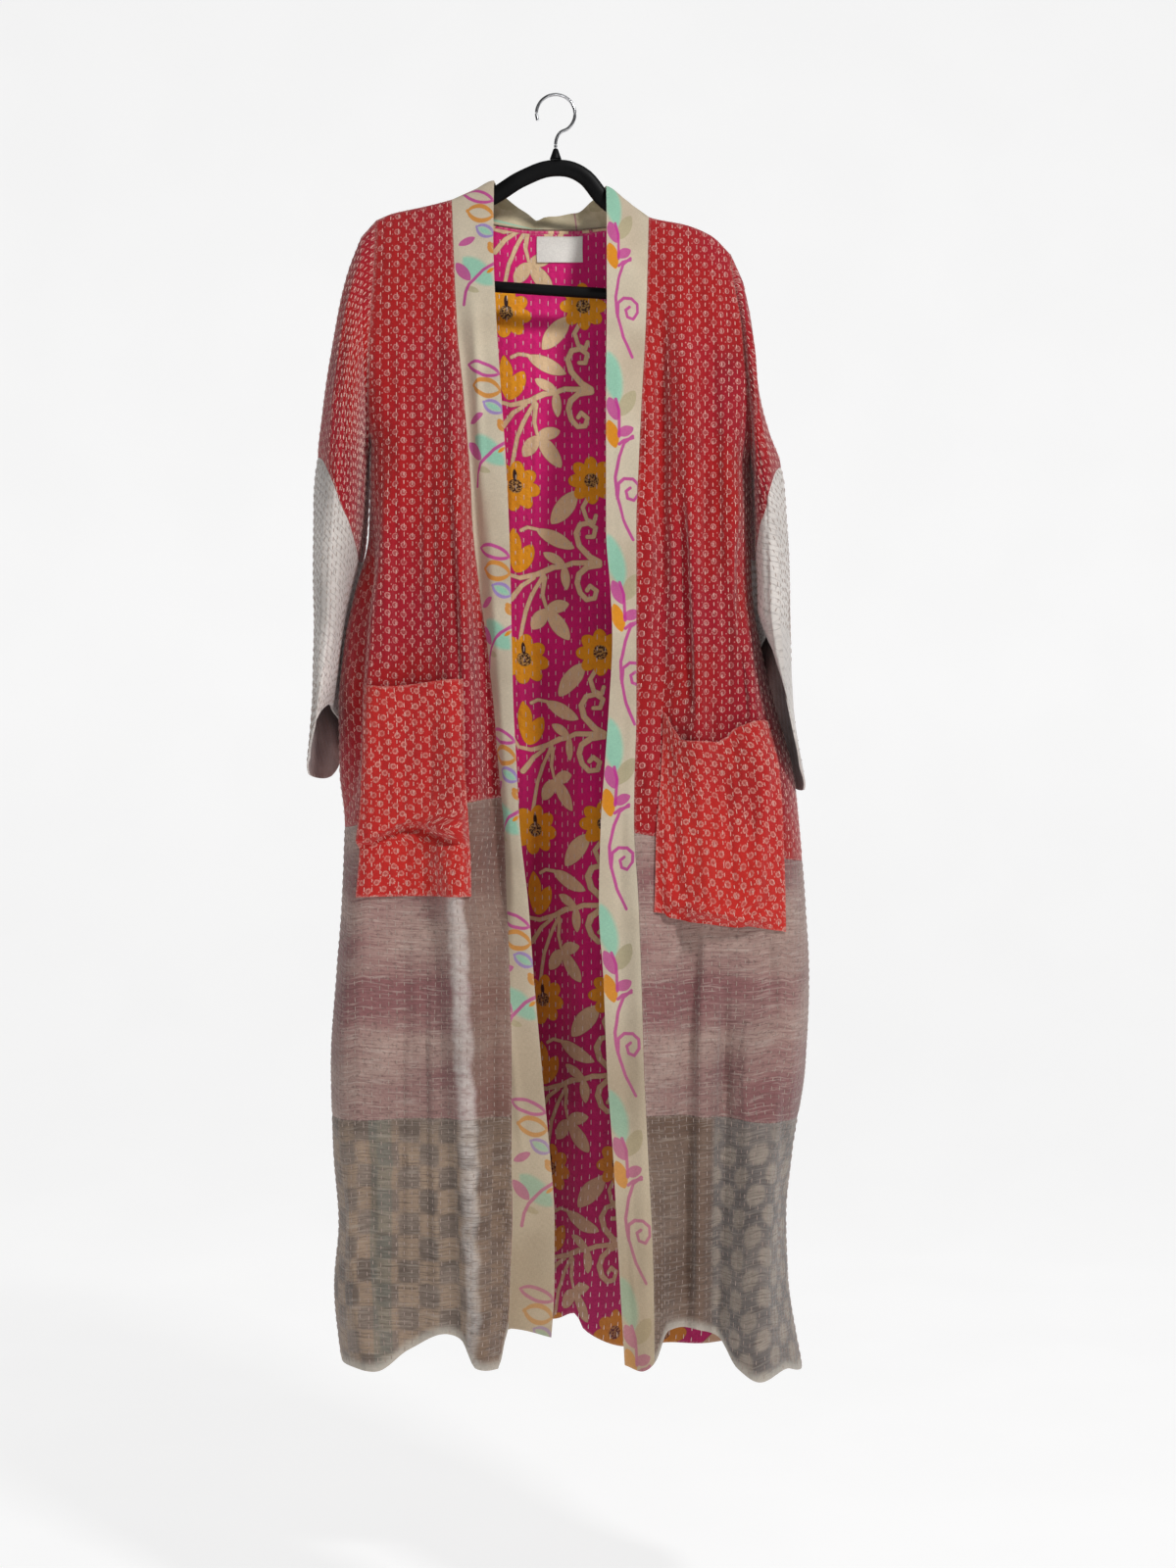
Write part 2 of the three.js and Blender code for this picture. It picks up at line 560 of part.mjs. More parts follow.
function frontSheet(side) {
  const columns = TURN_COLUMNS + FRONT_COLUMNS + BAND_COLUMNS;
  const turned = side === 'left' ? (c) => c : (c) => columns - c;
  const whole = sheet(HEM_ROW + 1, columns + 1, (r, c) => frontPoint(side, r, turned(c)));
  const sideColumn = turned(0);
  whole.normals[0].forEach((n) => flatten(n, 'y'));
  whole.normals.forEach((line, r) => r >= ARM_ROW && flatten(line[sideColumn], 'y'));
  return whole;
}

function addFront(side) {
  const whole = frontSheet(side);
  const left = side === 'left';
  const panelFrom = left ? 0 : BAND_COLUMNS;
  const panelTo = panelFrom + TURN_COLUMNS + FRONT_COLUMNS;
  for (const tier of TIERS) {
    const seams = `${left ? 'end' : 'start'} ${tier.name === 'upper' ? '' : 'top'} `
      + `${tier.name === 'lower' ? '' : 'bottom'}`;
    const piece = cut(whole, tier.from, tier.to, panelFrom, panelTo, seams);
    add(`front_${side}_${tier.name}`, wall(piece, CLOTH), cloth(tier.colour));
  }
  const bandFrom = left ? panelTo : 0;
  const band = cut(whole, 0, HEM_ROW, bandFrom, bandFrom + BAND_COLUMNS, left ? 'start' : 'end');
  add(`band_${side}`, wall(band, BAND_CLOTH), cloth(COLOURS.band));
  return whole;
}

// The back in the same three tiers, and the lining that shows through the open front
function backSheet() {
  const whole = sheet(HEM_ROW + 1, BACK_LAST + 1, backPoint);
  whole.normals[0].forEach((n, c) => {
    const inNeck = whole.points[0][c].y > 1;
    if (!inNeck) flatten(n, 'y');
  });
  whole.normals.forEach((line, r) => {
    if (r < ARM_ROW) return;
    flatten(line[0], 'y');
    flatten(line[BACK_LAST], 'y');
  });
  return whole;
}

function addBack() {
  const whole = backSheet();
  for (const tier of TIERS) {
    const seams = `${tier.name === 'upper' ? '' : 'top'} ${tier.name === 'lower' ? '' : 'bottom'}`;
    const piece = cut(whole, tier.from, tier.to, 0, BACK_LAST, seams);
    add(`back_${tier.name}`, wall(piece, CLOTH), cloth(tier.colour));
  }
  const inside = moved(whole, -(CLOTH + SEAM_GAP));
  const lining = cut(inside, 1, HEM_ROW, TURN_COLUMNS - 1, BACK_LAST - TURN_COLUMNS + 1, '');
  add('back_lining', wall(lining, LINING_CLOTH), cloth(COLOURS.lining));
  return whole;
}

// Neck band between the two front bands, leaning out over the back
function addNeckBand(back) {
  const first = TURN_COLUMNS + BACK_SHOULDER_COLUMNS;
  const count = NECK_COLUMNS.length;
  const band = sheet(NECK_BAND_ROWS + 1, count, (row, column) => {
    const share = NECK_COLUMNS[count - 1 - column];
    const sewn = back.points[0][first + column].clone();
    const free = new THREE.Vector3(
      read(NECK_EDGE, 'share', share, 'x'),
      read(NECK_EDGE, 'share', share, 'y'),
      read(NECK_EDGE, 'share', share, 'z'),
    );
    sewn.add(free.clone().sub(sewn).setLength(NECK_SEAM));
    return free.lerp(sewn, row / NECK_BAND_ROWS);
  });
  band.normals.forEach((line) => {
    line[0].set(0, 0, 1);
    line[count - 1].set(0, 0, 1);
  });
  return band;
}

function sleeveSheet(side, front, back) {
  const left = side === 'left';
  const outward = left ? -1 : 1;
  const table = left ? LEFT_SLEEVE : RIGHT_SLEEVE;
  const frontColumn = left ? 0 : front.points[0].length - 1;
  const backColumn = left ? BACK_LAST : 0;
  const loop = [];
  for (let r = 0; r <= ARM_ROW; r += 1) {
    loop.push({ point: front.points[r][frontColumn], share: ARM_ROWS[r] });
  }
  for (let r = ARM_ROW - 1; r > 0; r -= 1) {
    loop.push({ point: back.points[r][backColumn], share: ARM_ROWS[r] });
  }
  const count = loop.length;
  const ring = (index, row) => {
    const place = left ? index : (count - index) % count;
    const { point, share } = loop[place];
    const behind = place > ARM_ROW;
    if (row === 0) {
      const start = point.clone();
      start.x += outward * SEAM_GAP;
      if (share === 0 || share === 1) start.y = 0;
      return start;
    }
    const { outerX, outerZ, innerX, innerZ, depth, tilt, ...lean } = table[row - 1];
    const angle = Math.acos(1 - 2 * share);
    const across = Math.cos(angle);
    const through = Math.sin(angle) * (behind ? 1 : -1);
    const inward = (behind ? lean.back : lean.front) * smooth(Math.abs(depth * through) / LEAN_WHOLE);
    return new THREE.Vector3(
      mix(innerX, outerX, (1 + across) / 2) - outward * inward,
      depth * through,
      mix(innerZ, outerZ, (1 + across) / 2) - tilt * through,
    );
  };
  const whole = sheet(table.length + 1, count, (row, index) => ring(index, row), true);
  whole.normals[0].forEach((n) => flatten(n, 'x'));
  return whole;
}

function addSleeve(side, front, back) {
  const whole = sleeveSheet(side, front, back);
  const end = whole.points.length - 1;
  const last = whole.points[0].length - 1;
  add(`sleeve_${side}`, wall(cut(whole, 0, CUFF_RING, 0, last, 'bottom'), CLOTH), cloth(COLOURS.red));
  add(`cuff_${side}`, wall(cut(whole, CUFF_RING, end, 0, last, 'top'), CLOTH), cloth(COLOURS.cuff));
}

// Point and direction of a sheet at a fraction of a row and a column
function sample(source, row, column) {
  const r = Math.min(source.points.length - 2, Math.floor(row));
  const c = Math.min(source.points[0].length - 2, Math.floor(column));
  const blend = (grid) => {
    const above = grid[r][c].clone().lerp(grid[r][c + 1], column - c);
    const below = grid[r + 1][c].clone().lerp(grid[r + 1][c + 1], column - c);
    return above.lerp(below, row - r);
  };
  return { point: blend(source.points), normal: blend(source.normals).normalize() };
}

// Fraction of a row and a column where a sheet stands at x and z
function find(source, x, z) {
  const across = source.points[0];
  const rightward = Math.sign(across[across.length - 1].x - across[0].x);
  let row = ARM_ROW;
  let column = across.length / 2;
  for (let turn = 0; turn < SEARCH.turns; turn += 1) {
    let low = 0;
    let high = source.points[0].length - 1.001;
    for (let step = 0; step < SEARCH.halvings; step += 1) {
      column = (low + high) / 2;
      if (rightward * sample(source, row, column).point.x < rightward * x) low = column;
      else high = column;
    }
    low = 0;
    high = source.points.length - 1.001;
    for (let step = 0; step < SEARCH.halvings; step += 1) {
      row = (low + high) / 2;
      if (sample(source, row, column).point.z > z) low = row;
      else high = row;
    }
  }
  return { row, column };
}

// Rows or columns of a pocket: its two edges, and the panel's whole lines between them
function lines(from, to) {
  const low = Math.ceil(Math.max(...from) + NEAREST_LINE);
  const high = Math.floor(Math.min(...to) - NEAREST_LINE);
  return Array.from({ length: high - low + 1 }, (_, i) => low + i);
}

// Patch that lies on a sheet between four corners, first along its columns. Its points are the
// sheet's own, moved out by off(along, down), with the sheet's whole rows and columns inside it.
function patch(source, corners, off) {
  const [topFirst, topLast, bottomFirst, bottomLast] = corners.map(([x, z]) => find(source, x, z));
  const columns = lines([topFirst.column, bottomFirst.column], [topLast.column, bottomLast.column]);
  const rows = lines([topFirst.row, topLast.row], [bottomFirst.row, bottomLast.row]);
  return sheet(rows.length + 2, columns.length + 2, (r, c) => {
    const atTop = r === 0;
    const atBottom = r === rows.length + 1;
    let roughly = Number(atBottom);
    if (!atTop && !atBottom) roughly = (rows[r - 1] - topFirst.row) / (bottomFirst.row - topFirst.row);
    const firstColumn = mix(topFirst.column, bottomFirst.column, roughly);
    const lastColumn = mix(topLast.column, bottomLast.column, roughly);
    let column = c === 0 ? firstColumn : lastColumn;
    if (c > 0 && c <= columns.length) column = columns[c - 1];
    const along = (column - firstColumn) / (lastColumn - firstColumn);
    const topRow = mix(topFirst.row, topLast.row, along);
    const bottomRow = mix(bottomFirst.row, bottomLast.row, along);
    let row = atTop ? topRow : bottomRow;
    if (!atTop && !atBottom) row = rows[r - 1];
    const { point, normal } = sample(source, row, column);
    return point.addScaledVector(normal, off(along, (row - topRow) / (bottomRow - topRow)));
  });
}

// Patch pocket, stitched along three edges, with its mouth standing open
function addPocket(side, front, shape) {
  const { top, bottom, bulge, mouth } = shape;
  const corners = [
    [top.left, top.leftZ],
    [top.right, top.rightZ],
    [bottom.left, bottom.leftZ],
    [bottom.right, bottom.rightZ],
  ];
  const piece = patch(front, corners, (along, down) => {
    const open = mouth * (1 - smooth(down / POCKET_SAG.mouth));
    const sag = mix(POCKET_SAG.start, 1, Math.min(1, Math.max(0, down))) ** 2;
    const across = Math.max(0, Math.sin(Math.PI * along)) ** POCKET_SAG.fullness;
    return CLOTH + POCKET_LIFT + across * (open + bulge * Math.sin(Math.PI * sag));
  });
  add(`pocket_${side}`, wall(piece, CLOTH), cloth(COLOURS.pocket));
}

// Blank label on the inside of the lining
function addLabel(back) {
  const inside = moved(back, -(CLOTH + SEAM_GAP + LINING_CLOTH + LABEL.lift));
  const corners = [
    [LABEL.right, LABEL.top],
    [LABEL.left, LABEL.top],
    [LABEL.right, LABEL.bottom],
    [LABEL.left, LABEL.bottom],
  ];
  add('label', wall(patch(inside, corners, () => 0), LABEL.cloth), cloth(COLOURS.label));
}

const leftFront = addFront('left');
const rightFront = addFront('right');
const back = addBack();
add('band_neck', wall(addNeckBand(back), BAND_CLOTH), cloth(COLOURS.band));
addSleeve('left', leftFront, back);
addSleeve('right', rightFront, back);
addPocket('left', leftFront, LEFT_POCKET);
addPocket('right', rightFront, RIGHT_POCKET);
addLabel(back);

// Hanger: yoke over the shoulders, bar below it, boss and hook
function ellipse(width, tall, sides = 8) {
  const outlinePoints = [];
  for (let i = 0; i < sides; i += 1) {
    const turn = (2 * Math.PI * i) / sides;
    outlinePoints.push(new THREE.Vector2(width / 2 * Math.cos(turn), tall / 2 * Math.sin(turn)));
  }
  return new THREE.Shape(outlinePoints);
}

function rod(points, width, tall, steps) {
  const extrudePath = new THREE.CatmullRomCurve3(points, false, 'centripetal');
  return new THREE.ExtrudeGeometry(ellipse(width, tall), { steps, extrudePath });
}

function addHanger() {
  const plastic = new THREE.MeshStandardMaterial({ color: '#141414', roughness: 0.4, metalness: 0 });
  const steel = new THREE.MeshStandardMaterial({ color: '#b8babc', roughness: 0.25, metalness: 1 });
  const armX = [YOKE.left, -150, -119, -95, -70];
  const rightArmX = [57, 80, 107, 149, YOKE.right];
  const onRidge = (x) => new THREE.Vector3(x, 0, ridge(x) - YOKE.drop);
  const arch = YOKE_ARCH_X.map((x) => new THREE.Vector3(x, 0, YOKE.arch - YOKE.bend * x * x));
  const yokeLine = [...armX.map(onRidge), ...arch, ...rightArmX.map(onRidge)];
  add('hanger_yoke', rod(yokeLine, YOKE.depth, YOKE.height, YOKE.steps), plastic);

  const barZ = (x) => BAR.middle + BAR.slope * x;
  const underYoke = (x) => {
    const [before, after] = [ridge(x - BAR.size / 2), ridge(x + BAR.size / 2)];
    const lean = Math.atan2(after - before, BAR.size);
    return Math.min(before, after) - YOKE.drop - YOKE.height / 2 / Math.cos(lean);
  };
  const barLine = [];
  for (const [x, inward] of [[BAR.left, 1], [BAR.right, -1]]) {
    const end = [new THREE.Vector3(x, 0, underYoke(x) - 2 * SEAM_GAP)];
    for (let i = 0; i <= 3; i += 1) {
      const turn = (Math.PI / 2) * (i / 3);
      const corner = x + inward * BAR.turn * (1 - Math.cos(turn));
      end.push(new THREE.Vector3(corner, 0, barZ(x) + BAR.turn * (1 - Math.sin(turn))));
    }
    barLine.push(...(inward > 0 ? end : end.reverse()));
  }
  add('hanger_bar', rod(barLine, BAR.size, BAR.size, BAR.steps), plastic);

  const seat = YOKE.arch + YOKE.height / 2 + SEAM_GAP;
  const profile = [
    [0, seat],
    [BOSS.bottomRadius, seat],
    [BOSS.topRadius, BOSS.top],
    [0, BOSS.top],
  ].map(([radius, z]) => new THREE.Vector2(radius, z));
  const boss = new THREE.LatheGeometry(profile, 16);
  boss.rotateX(Math.PI / 2);
  add('hanger_boss', boss, plastic);

  const bow = HOOK.inside + HOOK.wire;
  const middle = -HOOK.inside;
  const hookLine = [[0, HOOK.shank], [0.2, -52], [2, -46]].map(([x, z]) => new THREE.Vector3(x, 0, z));
  for (let degrees = -75; degrees <= HOOK.end; degrees += 25) {
    const turn = degrees * Math.PI / 180;
    hookLine.push(new THREE.Vector3(bow * Math.cos(turn), 0, middle + bow * Math.sin(turn)));
  }
  add('hanger_hook', rod(hookLine, 2 * HOOK.wire, 2 * HOOK.wire, HOOK.steps), steel);
}

addHanger();

export default group;
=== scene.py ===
"""Looks of a long open-front robe of quilted patchwork cotton on a coat hanger.

Sizes are in millimetres until a mesh is made. Left and right are as seen from the front, -Y.
"""
import math
import bpy
import numpy as np
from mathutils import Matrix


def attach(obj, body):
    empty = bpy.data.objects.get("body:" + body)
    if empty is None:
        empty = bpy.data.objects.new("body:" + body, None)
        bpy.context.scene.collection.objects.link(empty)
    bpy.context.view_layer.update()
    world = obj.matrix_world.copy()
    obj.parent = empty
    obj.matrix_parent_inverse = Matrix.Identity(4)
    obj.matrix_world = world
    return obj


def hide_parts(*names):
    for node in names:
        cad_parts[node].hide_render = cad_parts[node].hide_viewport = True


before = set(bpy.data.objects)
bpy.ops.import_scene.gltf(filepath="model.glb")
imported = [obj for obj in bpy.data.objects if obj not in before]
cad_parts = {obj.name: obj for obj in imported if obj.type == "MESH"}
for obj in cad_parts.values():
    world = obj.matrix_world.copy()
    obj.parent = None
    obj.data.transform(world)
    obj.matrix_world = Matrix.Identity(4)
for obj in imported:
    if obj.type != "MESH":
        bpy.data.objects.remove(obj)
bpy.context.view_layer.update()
MM = 0.001

# ---------------------------------------------------------------- camera
PIXEL = 1.1                      # mm at the plane of the fronts
CAMERA_AT = (0.0369, -2.64, -0.7838)
CAMERA_AWAY, SENSOR = 2.6, 36    # metres to the plane of the fronts, and mm
VIEW_TALL = 1600 * PIXEL * MM
camera_data = bpy.data.cameras.new("camera")
camera = bpy.data.objects.new("camera", camera_data)
bpy.context.scene.collection.objects.link(camera)
camera.location = CAMERA_AT
camera.rotation_euler = (math.pi / 2, 0, 0)
camera_data.sensor_fit = "VERTICAL"
camera_data.sensor_height = SENSOR
camera_data.lens = SENSOR * CAMERA_AWAY / VIEW_TALL
bpy.context.scene.camera = camera

# ---------------------------------------------------------------- sizes
CLOTH, BAND_CLOTH, LINING_CLOTH = 2.0, 3.0, 1.2
SEAM_GAP = 0.3
UNDERARM = {"left": -400, "right": -420}
ARM_ROW, UPPER_ROW, LOWER_ROW, HEM_ROW = 10, 18, 24, 29
TURN_COLUMNS, FRONT_COLUMNS, BAND_COLUMNS, SHOULDER_COLUMNS = 4, 11, 3, 3
TURN_WIDTH = 36
ARM_SPREAD = 2.2
BAND_HEM, BAND_WIDE = -1425, 45
LINING_TOP = 0.95                # row of the back where its lining begins
FINE_ROWS = [(0, ARM_ROW, 44), (ARM_ROW, UPPER_ROW, 76), (UPPER_ROW, LOWER_ROW, 54), (LOWER_ROW, HEM_ROW, 46)]


def table(names, rows):
    """Columns of a table by name."""
    return {n: np.array(c, float) for n, c in zip(names.split(), zip(*rows))}


RIDGE = table("x z", [
    (-203, -141), (-186, -134), (-150, -126), (-119, -118), (-95, -108), (-70, -96), (57, -102),
    (80, -118), (107, -138), (149, -147), (177, -159), (199, -180)])
NECK_LEFT, NECK_RIGHT = -119, 107
DEPTH = table("drop front back", [
    (0, 0.15, 0.15), (1.4, 5.5, 5.5), (4.5, 10, 10), (11, 13, 13), (25, 17, 16), (50, 23, 21),
    (85, 30, 27), (130, 37, 34), (180, 43, 40), (282, 51, 48), (430, 57, 55), (600, 62, 60),
    (750, 66, 66), (900, 70, 72), (1030, 74, 76), (1180, 80, 80), (1360, 86, 84)])
OUTLINE = table("z left left_band left_opening right_opening right_band right", [
    (-96, -203, -119, -70, 57, 107, 199),
    (-180, -204, -115, -70, 58, 105, 199),
    (-270, -208, -110, -66, 58, 102, 211),
    (-340, -210, -103, -61, 57, 98, 217),
    (-420, -211, -96, -55, 57, 94, 221),
    (-500, -213, -91, -51, 57, 91, 222),
    (-570, -230, -84, -49, 62, 91, 224),
    (-620, -240, -78, -48, 64, 91, 232),
    (-700, -247, -70, -46, 60, 91, 251),
    (-770, -246, -65, -42, 55, 89, 270),
    (-830, -240, -59, -39, 51, 88, 277),
    (-920, -243, -54, -29, 49, 93, 284),
    (-1000, -249, -50, -23, 54, 96, 288),
    (-1100, -255, -48, -14, 58, 99, 284),
    (-1200, -252, -48, -5, 65, 104, 269),
    (-1280, -246, -47, 0, 69, 108, 262),
    (-1350, -251, -49, 0, 73, 110, 264),
    (-1450, -241, -52, -5, 79, 111, 281)])
UPPER_SEAM = {"left": -833, "left_band": -798, "right_band": -838, "right": -871}
LOWER_SEAM = {"left": -1158, "left_band": -1152, "right_band": -1150, "right": -1160}
FRONT_HEM = table("x z", [
    (-245, -1432), (-215, -1428), (-195, -1429), (-160, -1409), (-121, -1391), (-103, -1396),
    (-85, -1424), (-62, -1427), (-50, -1385), (-5, -1393), (78, -1424), (95, -1430), (111, -1420),
    (126, -1388), (153, -1386), (182, -1398), (200, -1425), (225, -1436), (255, -1430), (281, -1444)])
BACK_HEM = table("x z", [
    (-245, -1432), (-120, -1420), (0, -1414), (24, -1404), (34, -1422), (80, -1444), (180, -1440),
    (281, -1444)])

# Folds that run down: heights where each begins and is whole, its middle at the top and bottom,
# its half width, how far it stands out, and where it ends (0 for the hem)
FRONT_FOLDS = [
    (-170, -330, -106, -104, 30, 13, -880), (-190, -330, -112, -62, 18, -17, -900),
    (-780, -950, -118, -80, 30, 22, 0), (-1150, -1430, -246, -200, 34, 16, 0),
    (-420, -620, -165, -165, 44, -7, 0), (-780, -900, 92, 108, 26, 12, 0),
    (-170, -380, 140, 160, 22, 12, -740), (-170, -380, 118, 120, 18, -8, -760),
    (-250, -480, 186, 220, 24, 11, -740), (-860, -980, 150, 140, 20, -13, 0),
    (-1000, -1120, 194, 178, 20, -16, 0), (-1040, -1300, 232, 222, 42, 34, 0)]
BACK_FOLDS = [
    (-560, -760, -8, -6, 34, 13, 0), (-560, -760, 40, 44, 34, -12, 0),
    (-300, -700, -120, -130, 42, 12, 0), (-900, -1200, -200, -196, 36, 14, 0),
    (-300, -700, 118, 128, 40, 12, 0), (-900, -1200, 205, 208, 38, 18, 0)]
FOLD_FADE, HEM_MIDDLE = 90, -1430

# Lesser creases, each from one point to another: x, z, x, z, half width, how far out
FRONT_CREASES = [
    (-176, -230, -170, -640, 9, 2.6), (-152, -200, -146, -520, 7, -2.2), (-134, -300, -126, -700, 8, 2.2),
    (-196, -420, -214, -700, 8, -2.4), (-190, -930, -196, -1400, 10, 2.6), (-160, -960, -150, -1390, 9, -3.0),
    (-140, -1000, -128, -1380, 8, 2.4), (-222, -960, -232, -1300, 9, -2.4), (-70, -960, -64, -1400, 7, -2.0),
    (-210, -1020, -190, -1060, 6, 1.6), (-172, -1180, -150, -1230, 6, 1.5), (-100, -870, -66, -845, 5, 1.5),
    (-90, -230, -78, -560, 6, 1.8), (-72, -620, -56, -900, 6, -1.6), (-60, -960, -30, -1240, 6, 1.5),
    (128, -220, 134, -640, 7, 2.0), (176, -240, 186, -640, 8, -2.8), (200, -430, 214, -700, 8, 2.2),
    (106, -420, 104, -760, 6, 1.6), (122, -980, 128, -1400, 8, -2.4), (164, -960, 160, -1390, 9, 2.8),
    (206, -990, 200, -1400, 8, -2.6), (256, -980, 254, -1400, 9, -3.0), (216, -1120, 246, -1150, 6, 1.8),
    (70, -240, 74, -600, 6, 1.5), (80, -620, 72, -960, 6, -1.5), (60, -1141, 96, -1150, 4, -1.8),
    (58, -1153, 100, -1158, 4, 1.8), (78, -1190, 92, -1400, 6, 1.6), (150, -870, 240, -900, 8, -1.5),
    (-216, -430, -236, -860, 24, -18), (-186, -420, -194, -700, 10, 5), (-182, -480, -186, -680, 9, 3.5),
    (-122, -420, -94, -900, 9, -7), (-150, -300, -140, -640, 9, 4), (-166, -900, -172, -1400, 9, -5),
    (138, -440, 150, -740, 10, -9), (206, -470, 211, -745, 10, -9), (176, -480, 180, -725, 13, 4.5),
    (118, -230, 120, -640, 8, -4), (160, -900, 150, -1130, 8, -4), (-212, -1150, -186, -1420, 9, -6),
    (-232, -1160, -214, -1420, 8, 4), (-146, -930, -140, -1400, 10, -4.5), (188, -980, 190, -1180, 9, -5),
    (150, -1150, 146, -1400, 9, -6), (236, -940, 246, -1060, 9, -4)]
BACK_CREASES = [
    (-60, -260, -70, -900, 10, 3.0), (-20, -240, -26, -560, 8, -2.2), (20, -260, 16, -620, 8, 2.2),
    (70, -260, 80, -860, 10, 2.8), (-160, -420, -170, -1000, 10, -3.0), (160, -420, 172, -1000, 10, -3.0),
    (-90, -900, -86, -1400, 10, -3.2), (90, -900, 96, -1420, 10, -3.2), (-50, -960, -44, -1400, 9, 3.0),
    (150, -1100, 160, -1420, 10, 3.0), (-158, -1100, -164, -1400, 10, 3.0), (-200, -300, -190, -520, 8, 2.0),
    (210, -340, 200, -560, 8, 2.0), (-120, -180, -60, -260, 9, 1.8), (100, -200, 40, -280, 9, 1.8)]

NECKLINE = table("x y z", [
    (-119, 0.15, -118), (-115, 9, -122), (-109, 14, -127), (-95, 21, -134), (-70, 31, -141),
    (-25, 40, -146), (20, 40, -146), (57, 31, -144), (84, 21, -143), (98, 14, -141),
    (103, 9, -140), (107, 0.15, -138)])
NECK_COLUMNS = [0, 0.025, 0.08, 0.2, 0.36, 0.5, 0.64, 0.8, 0.92, 0.975, 1]
NECK_FADE, NECK_SEAM = 240, 0.9
NECK_EDGE = table("share x y z", [
    (0, -70, 0.15, -96), (0.025, -69.5, 8, -98), (0.08, -67, 16, -101), (0.2, -56, 34, -110),
    (0.36, -34, 60, -120), (0.5, -4, 68, -123), (0.64, 22, 60, -119), (0.8, 42, 34, -111),
    (0.92, 54, 16, -105), (0.975, 56.5, 8, -103), (1, 57, 0.15, -102)])
SLEEVE = {
    "left": table("ring outer_x outer_z inner_x inner_z depth tilt front back", [
        (1, -221, -160, -213, -416, 36, 0, 3, 4), (2, -238, -208, -214, -434, 48, 2, 4, 6),
        (3, -251, -268, -215, -456, 56, 3, 5, 8), (4, -262, -336, -217, -484, 62, 5, 6, 9),
        (5, -271, -414, -223, -530, 68, 7, 7, 10), (6, -275, -470, -231, -558, 72, 9, 8, 11),
        (7, -276, -535, -239, -592, 76, 12, 8, 12), (8, -275, -605, -244, -628, 80, 14, 8, 12),
        (9, -276, -680, -248, -664, 84, 17, 6, 12), (10, -282, -772, -253, -700, 88, 20, 4, 12)]),
    "right": table("ring outer_x outer_z inner_x inner_z depth tilt front back", [
        (1, 213, -212, 225, -438, 40, 0, 3, 4), (2, 224, -268, 226, -460, 50, 2, 4, 6),
        (3, 231, -335, 226, -484, 58, 3, 5, 8), (4, 243, -384, 227, -506, 64, 4, 6, 9),
        (5, 257, -425, 227, -528, 68, 5, 7, 10), (6, 262, -470, 228, -550, 72, 6, 8, 11),
        (7, 266, -530, 229, -572, 76, 8, 8, 12), (8, 267, -600, 230, -592, 80, 10, 8, 12),
        (9, 271, -698, 234, -606, 84, 11, 6, 12), (10, 284, -790, 238, -617, 86, 12, 4, 12)])}
LEAN_WHOLE = 70
CUFF_RING = 5

# Long creases of the sleeves: turn round the arm in degrees at the start and end, rings from and
# to, half width in degrees, how far out. 0 is over the arm, 90 the front, 180 under it.
SLEEVE_CREASES = [
    (40, 62, 0.6, 5.2, 11, 3.0), (75, 96, 0.8, 6.5, 10, -2.6), (112, 118, 1.0, 7.0, 11, 2.8),
    (150, 140, 0.4, 5.0, 12, -2.4), (60, 74, 5.4, 9.8, 12, 2.4), (100, 112, 5.6, 9.8, 12, -2.0),
    (214, 236, 0.6, 6.0, 11, 3.0), (262, 250, 0.8, 7.5, 12, -2.8), (300, 290, 1.0, 8.5, 11, 2.8),
    (328, 322, 0.8, 6.0, 10, -2.2)]
POCKETS = {
    "left": {"corners": ((-212, -674), (-103, -667), (-220, -910), (-94, -908)), "bulge": 9, "mouth": 9,
             "hangs": 2},
    "right": {"corners": ((121, -704), (236, -714), (109, -926), (256, -948)), "bulge": 19, "mouth": 12,
              "hangs": 4}}
POCKET_LIFT, POCKET_HEM, POCKET_ROWS, POCKET_COLUMNS = 0.8, 16, 57, 41
# Mouths hang down between their corners, by share of the pocket's height
POCKET_DROOP = {"left": 0.015, "right": 0.13}
# The bag hangs over its own lower edge, by this much
POCKET_OVERHANG = {"left": 0, "right": 15}
# Fold across the left pocket, where the cloth above stands out over the cloth below
POCKET_LEDGE = {"left": 9, "right": 0, "down": 0.69, "arch": 0.28}
# Creases of the pockets by share along and down: from, to, half width in mm, how far out
POCKET_CREASES = {
    "left": [(0.05, 0.88, 0.95, 0.86, 9, 3.0), (0.25, 0.2, 0.3, 0.65, 9, 2.6),
             (0.7, 0.15, 0.66, 0.62, 9, -2.6), (0.1, 0.62, 0.9, 0.62, 9, 2.5)],
    "right": [(0.05, 0.05, 0.20, 0.95, 9, -6.0), (0.30, 0.2, 0.42, 0.88, 10, 4.5),
              (0.55, 0.2, 0.60, 0.8, 9, -4.5), (0.95, 0.1, 0.76, 0.9, 10, 5.0),
              (0.02, 0.86, 0.98, 0.93, 12, 9.0), (0.4, 0.99, 1.0, 0.80, 6, -3.5),
              (0.8, 0.1, 0.74, 0.6, 7, -3.5)]}
LABEL = {"corners": ((31, -151), (-22, -151), (31, -181), (-22, -181)), "cloth": 1.0, "lift": 0.5,
         "rows": 9, "columns": 15}
# Running stitches: between rows, from stitch to stitch down a row, and so on the lining
STITCH_APART, STITCH_STEP, LINING_STEP = 9.5, 9.6, 12.6
STITCH_HALF, LINING_STITCH, STITCH_SEED = 2.75, 1.18, 41


# ---------------------------------------------------------------- form of the cloth
def smooth(share):
    s = np.clip(share, 0, 1)
    return s * s * (3 - 2 * s)


def mix(a, b, share):
    return a + (b - a) * share


def rounded(away):
    """Section of a fold: 1 in its middle, 0 from 1 away."""
    return np.cos(np.clip(away, -1, 1) * np.pi / 2) ** 2


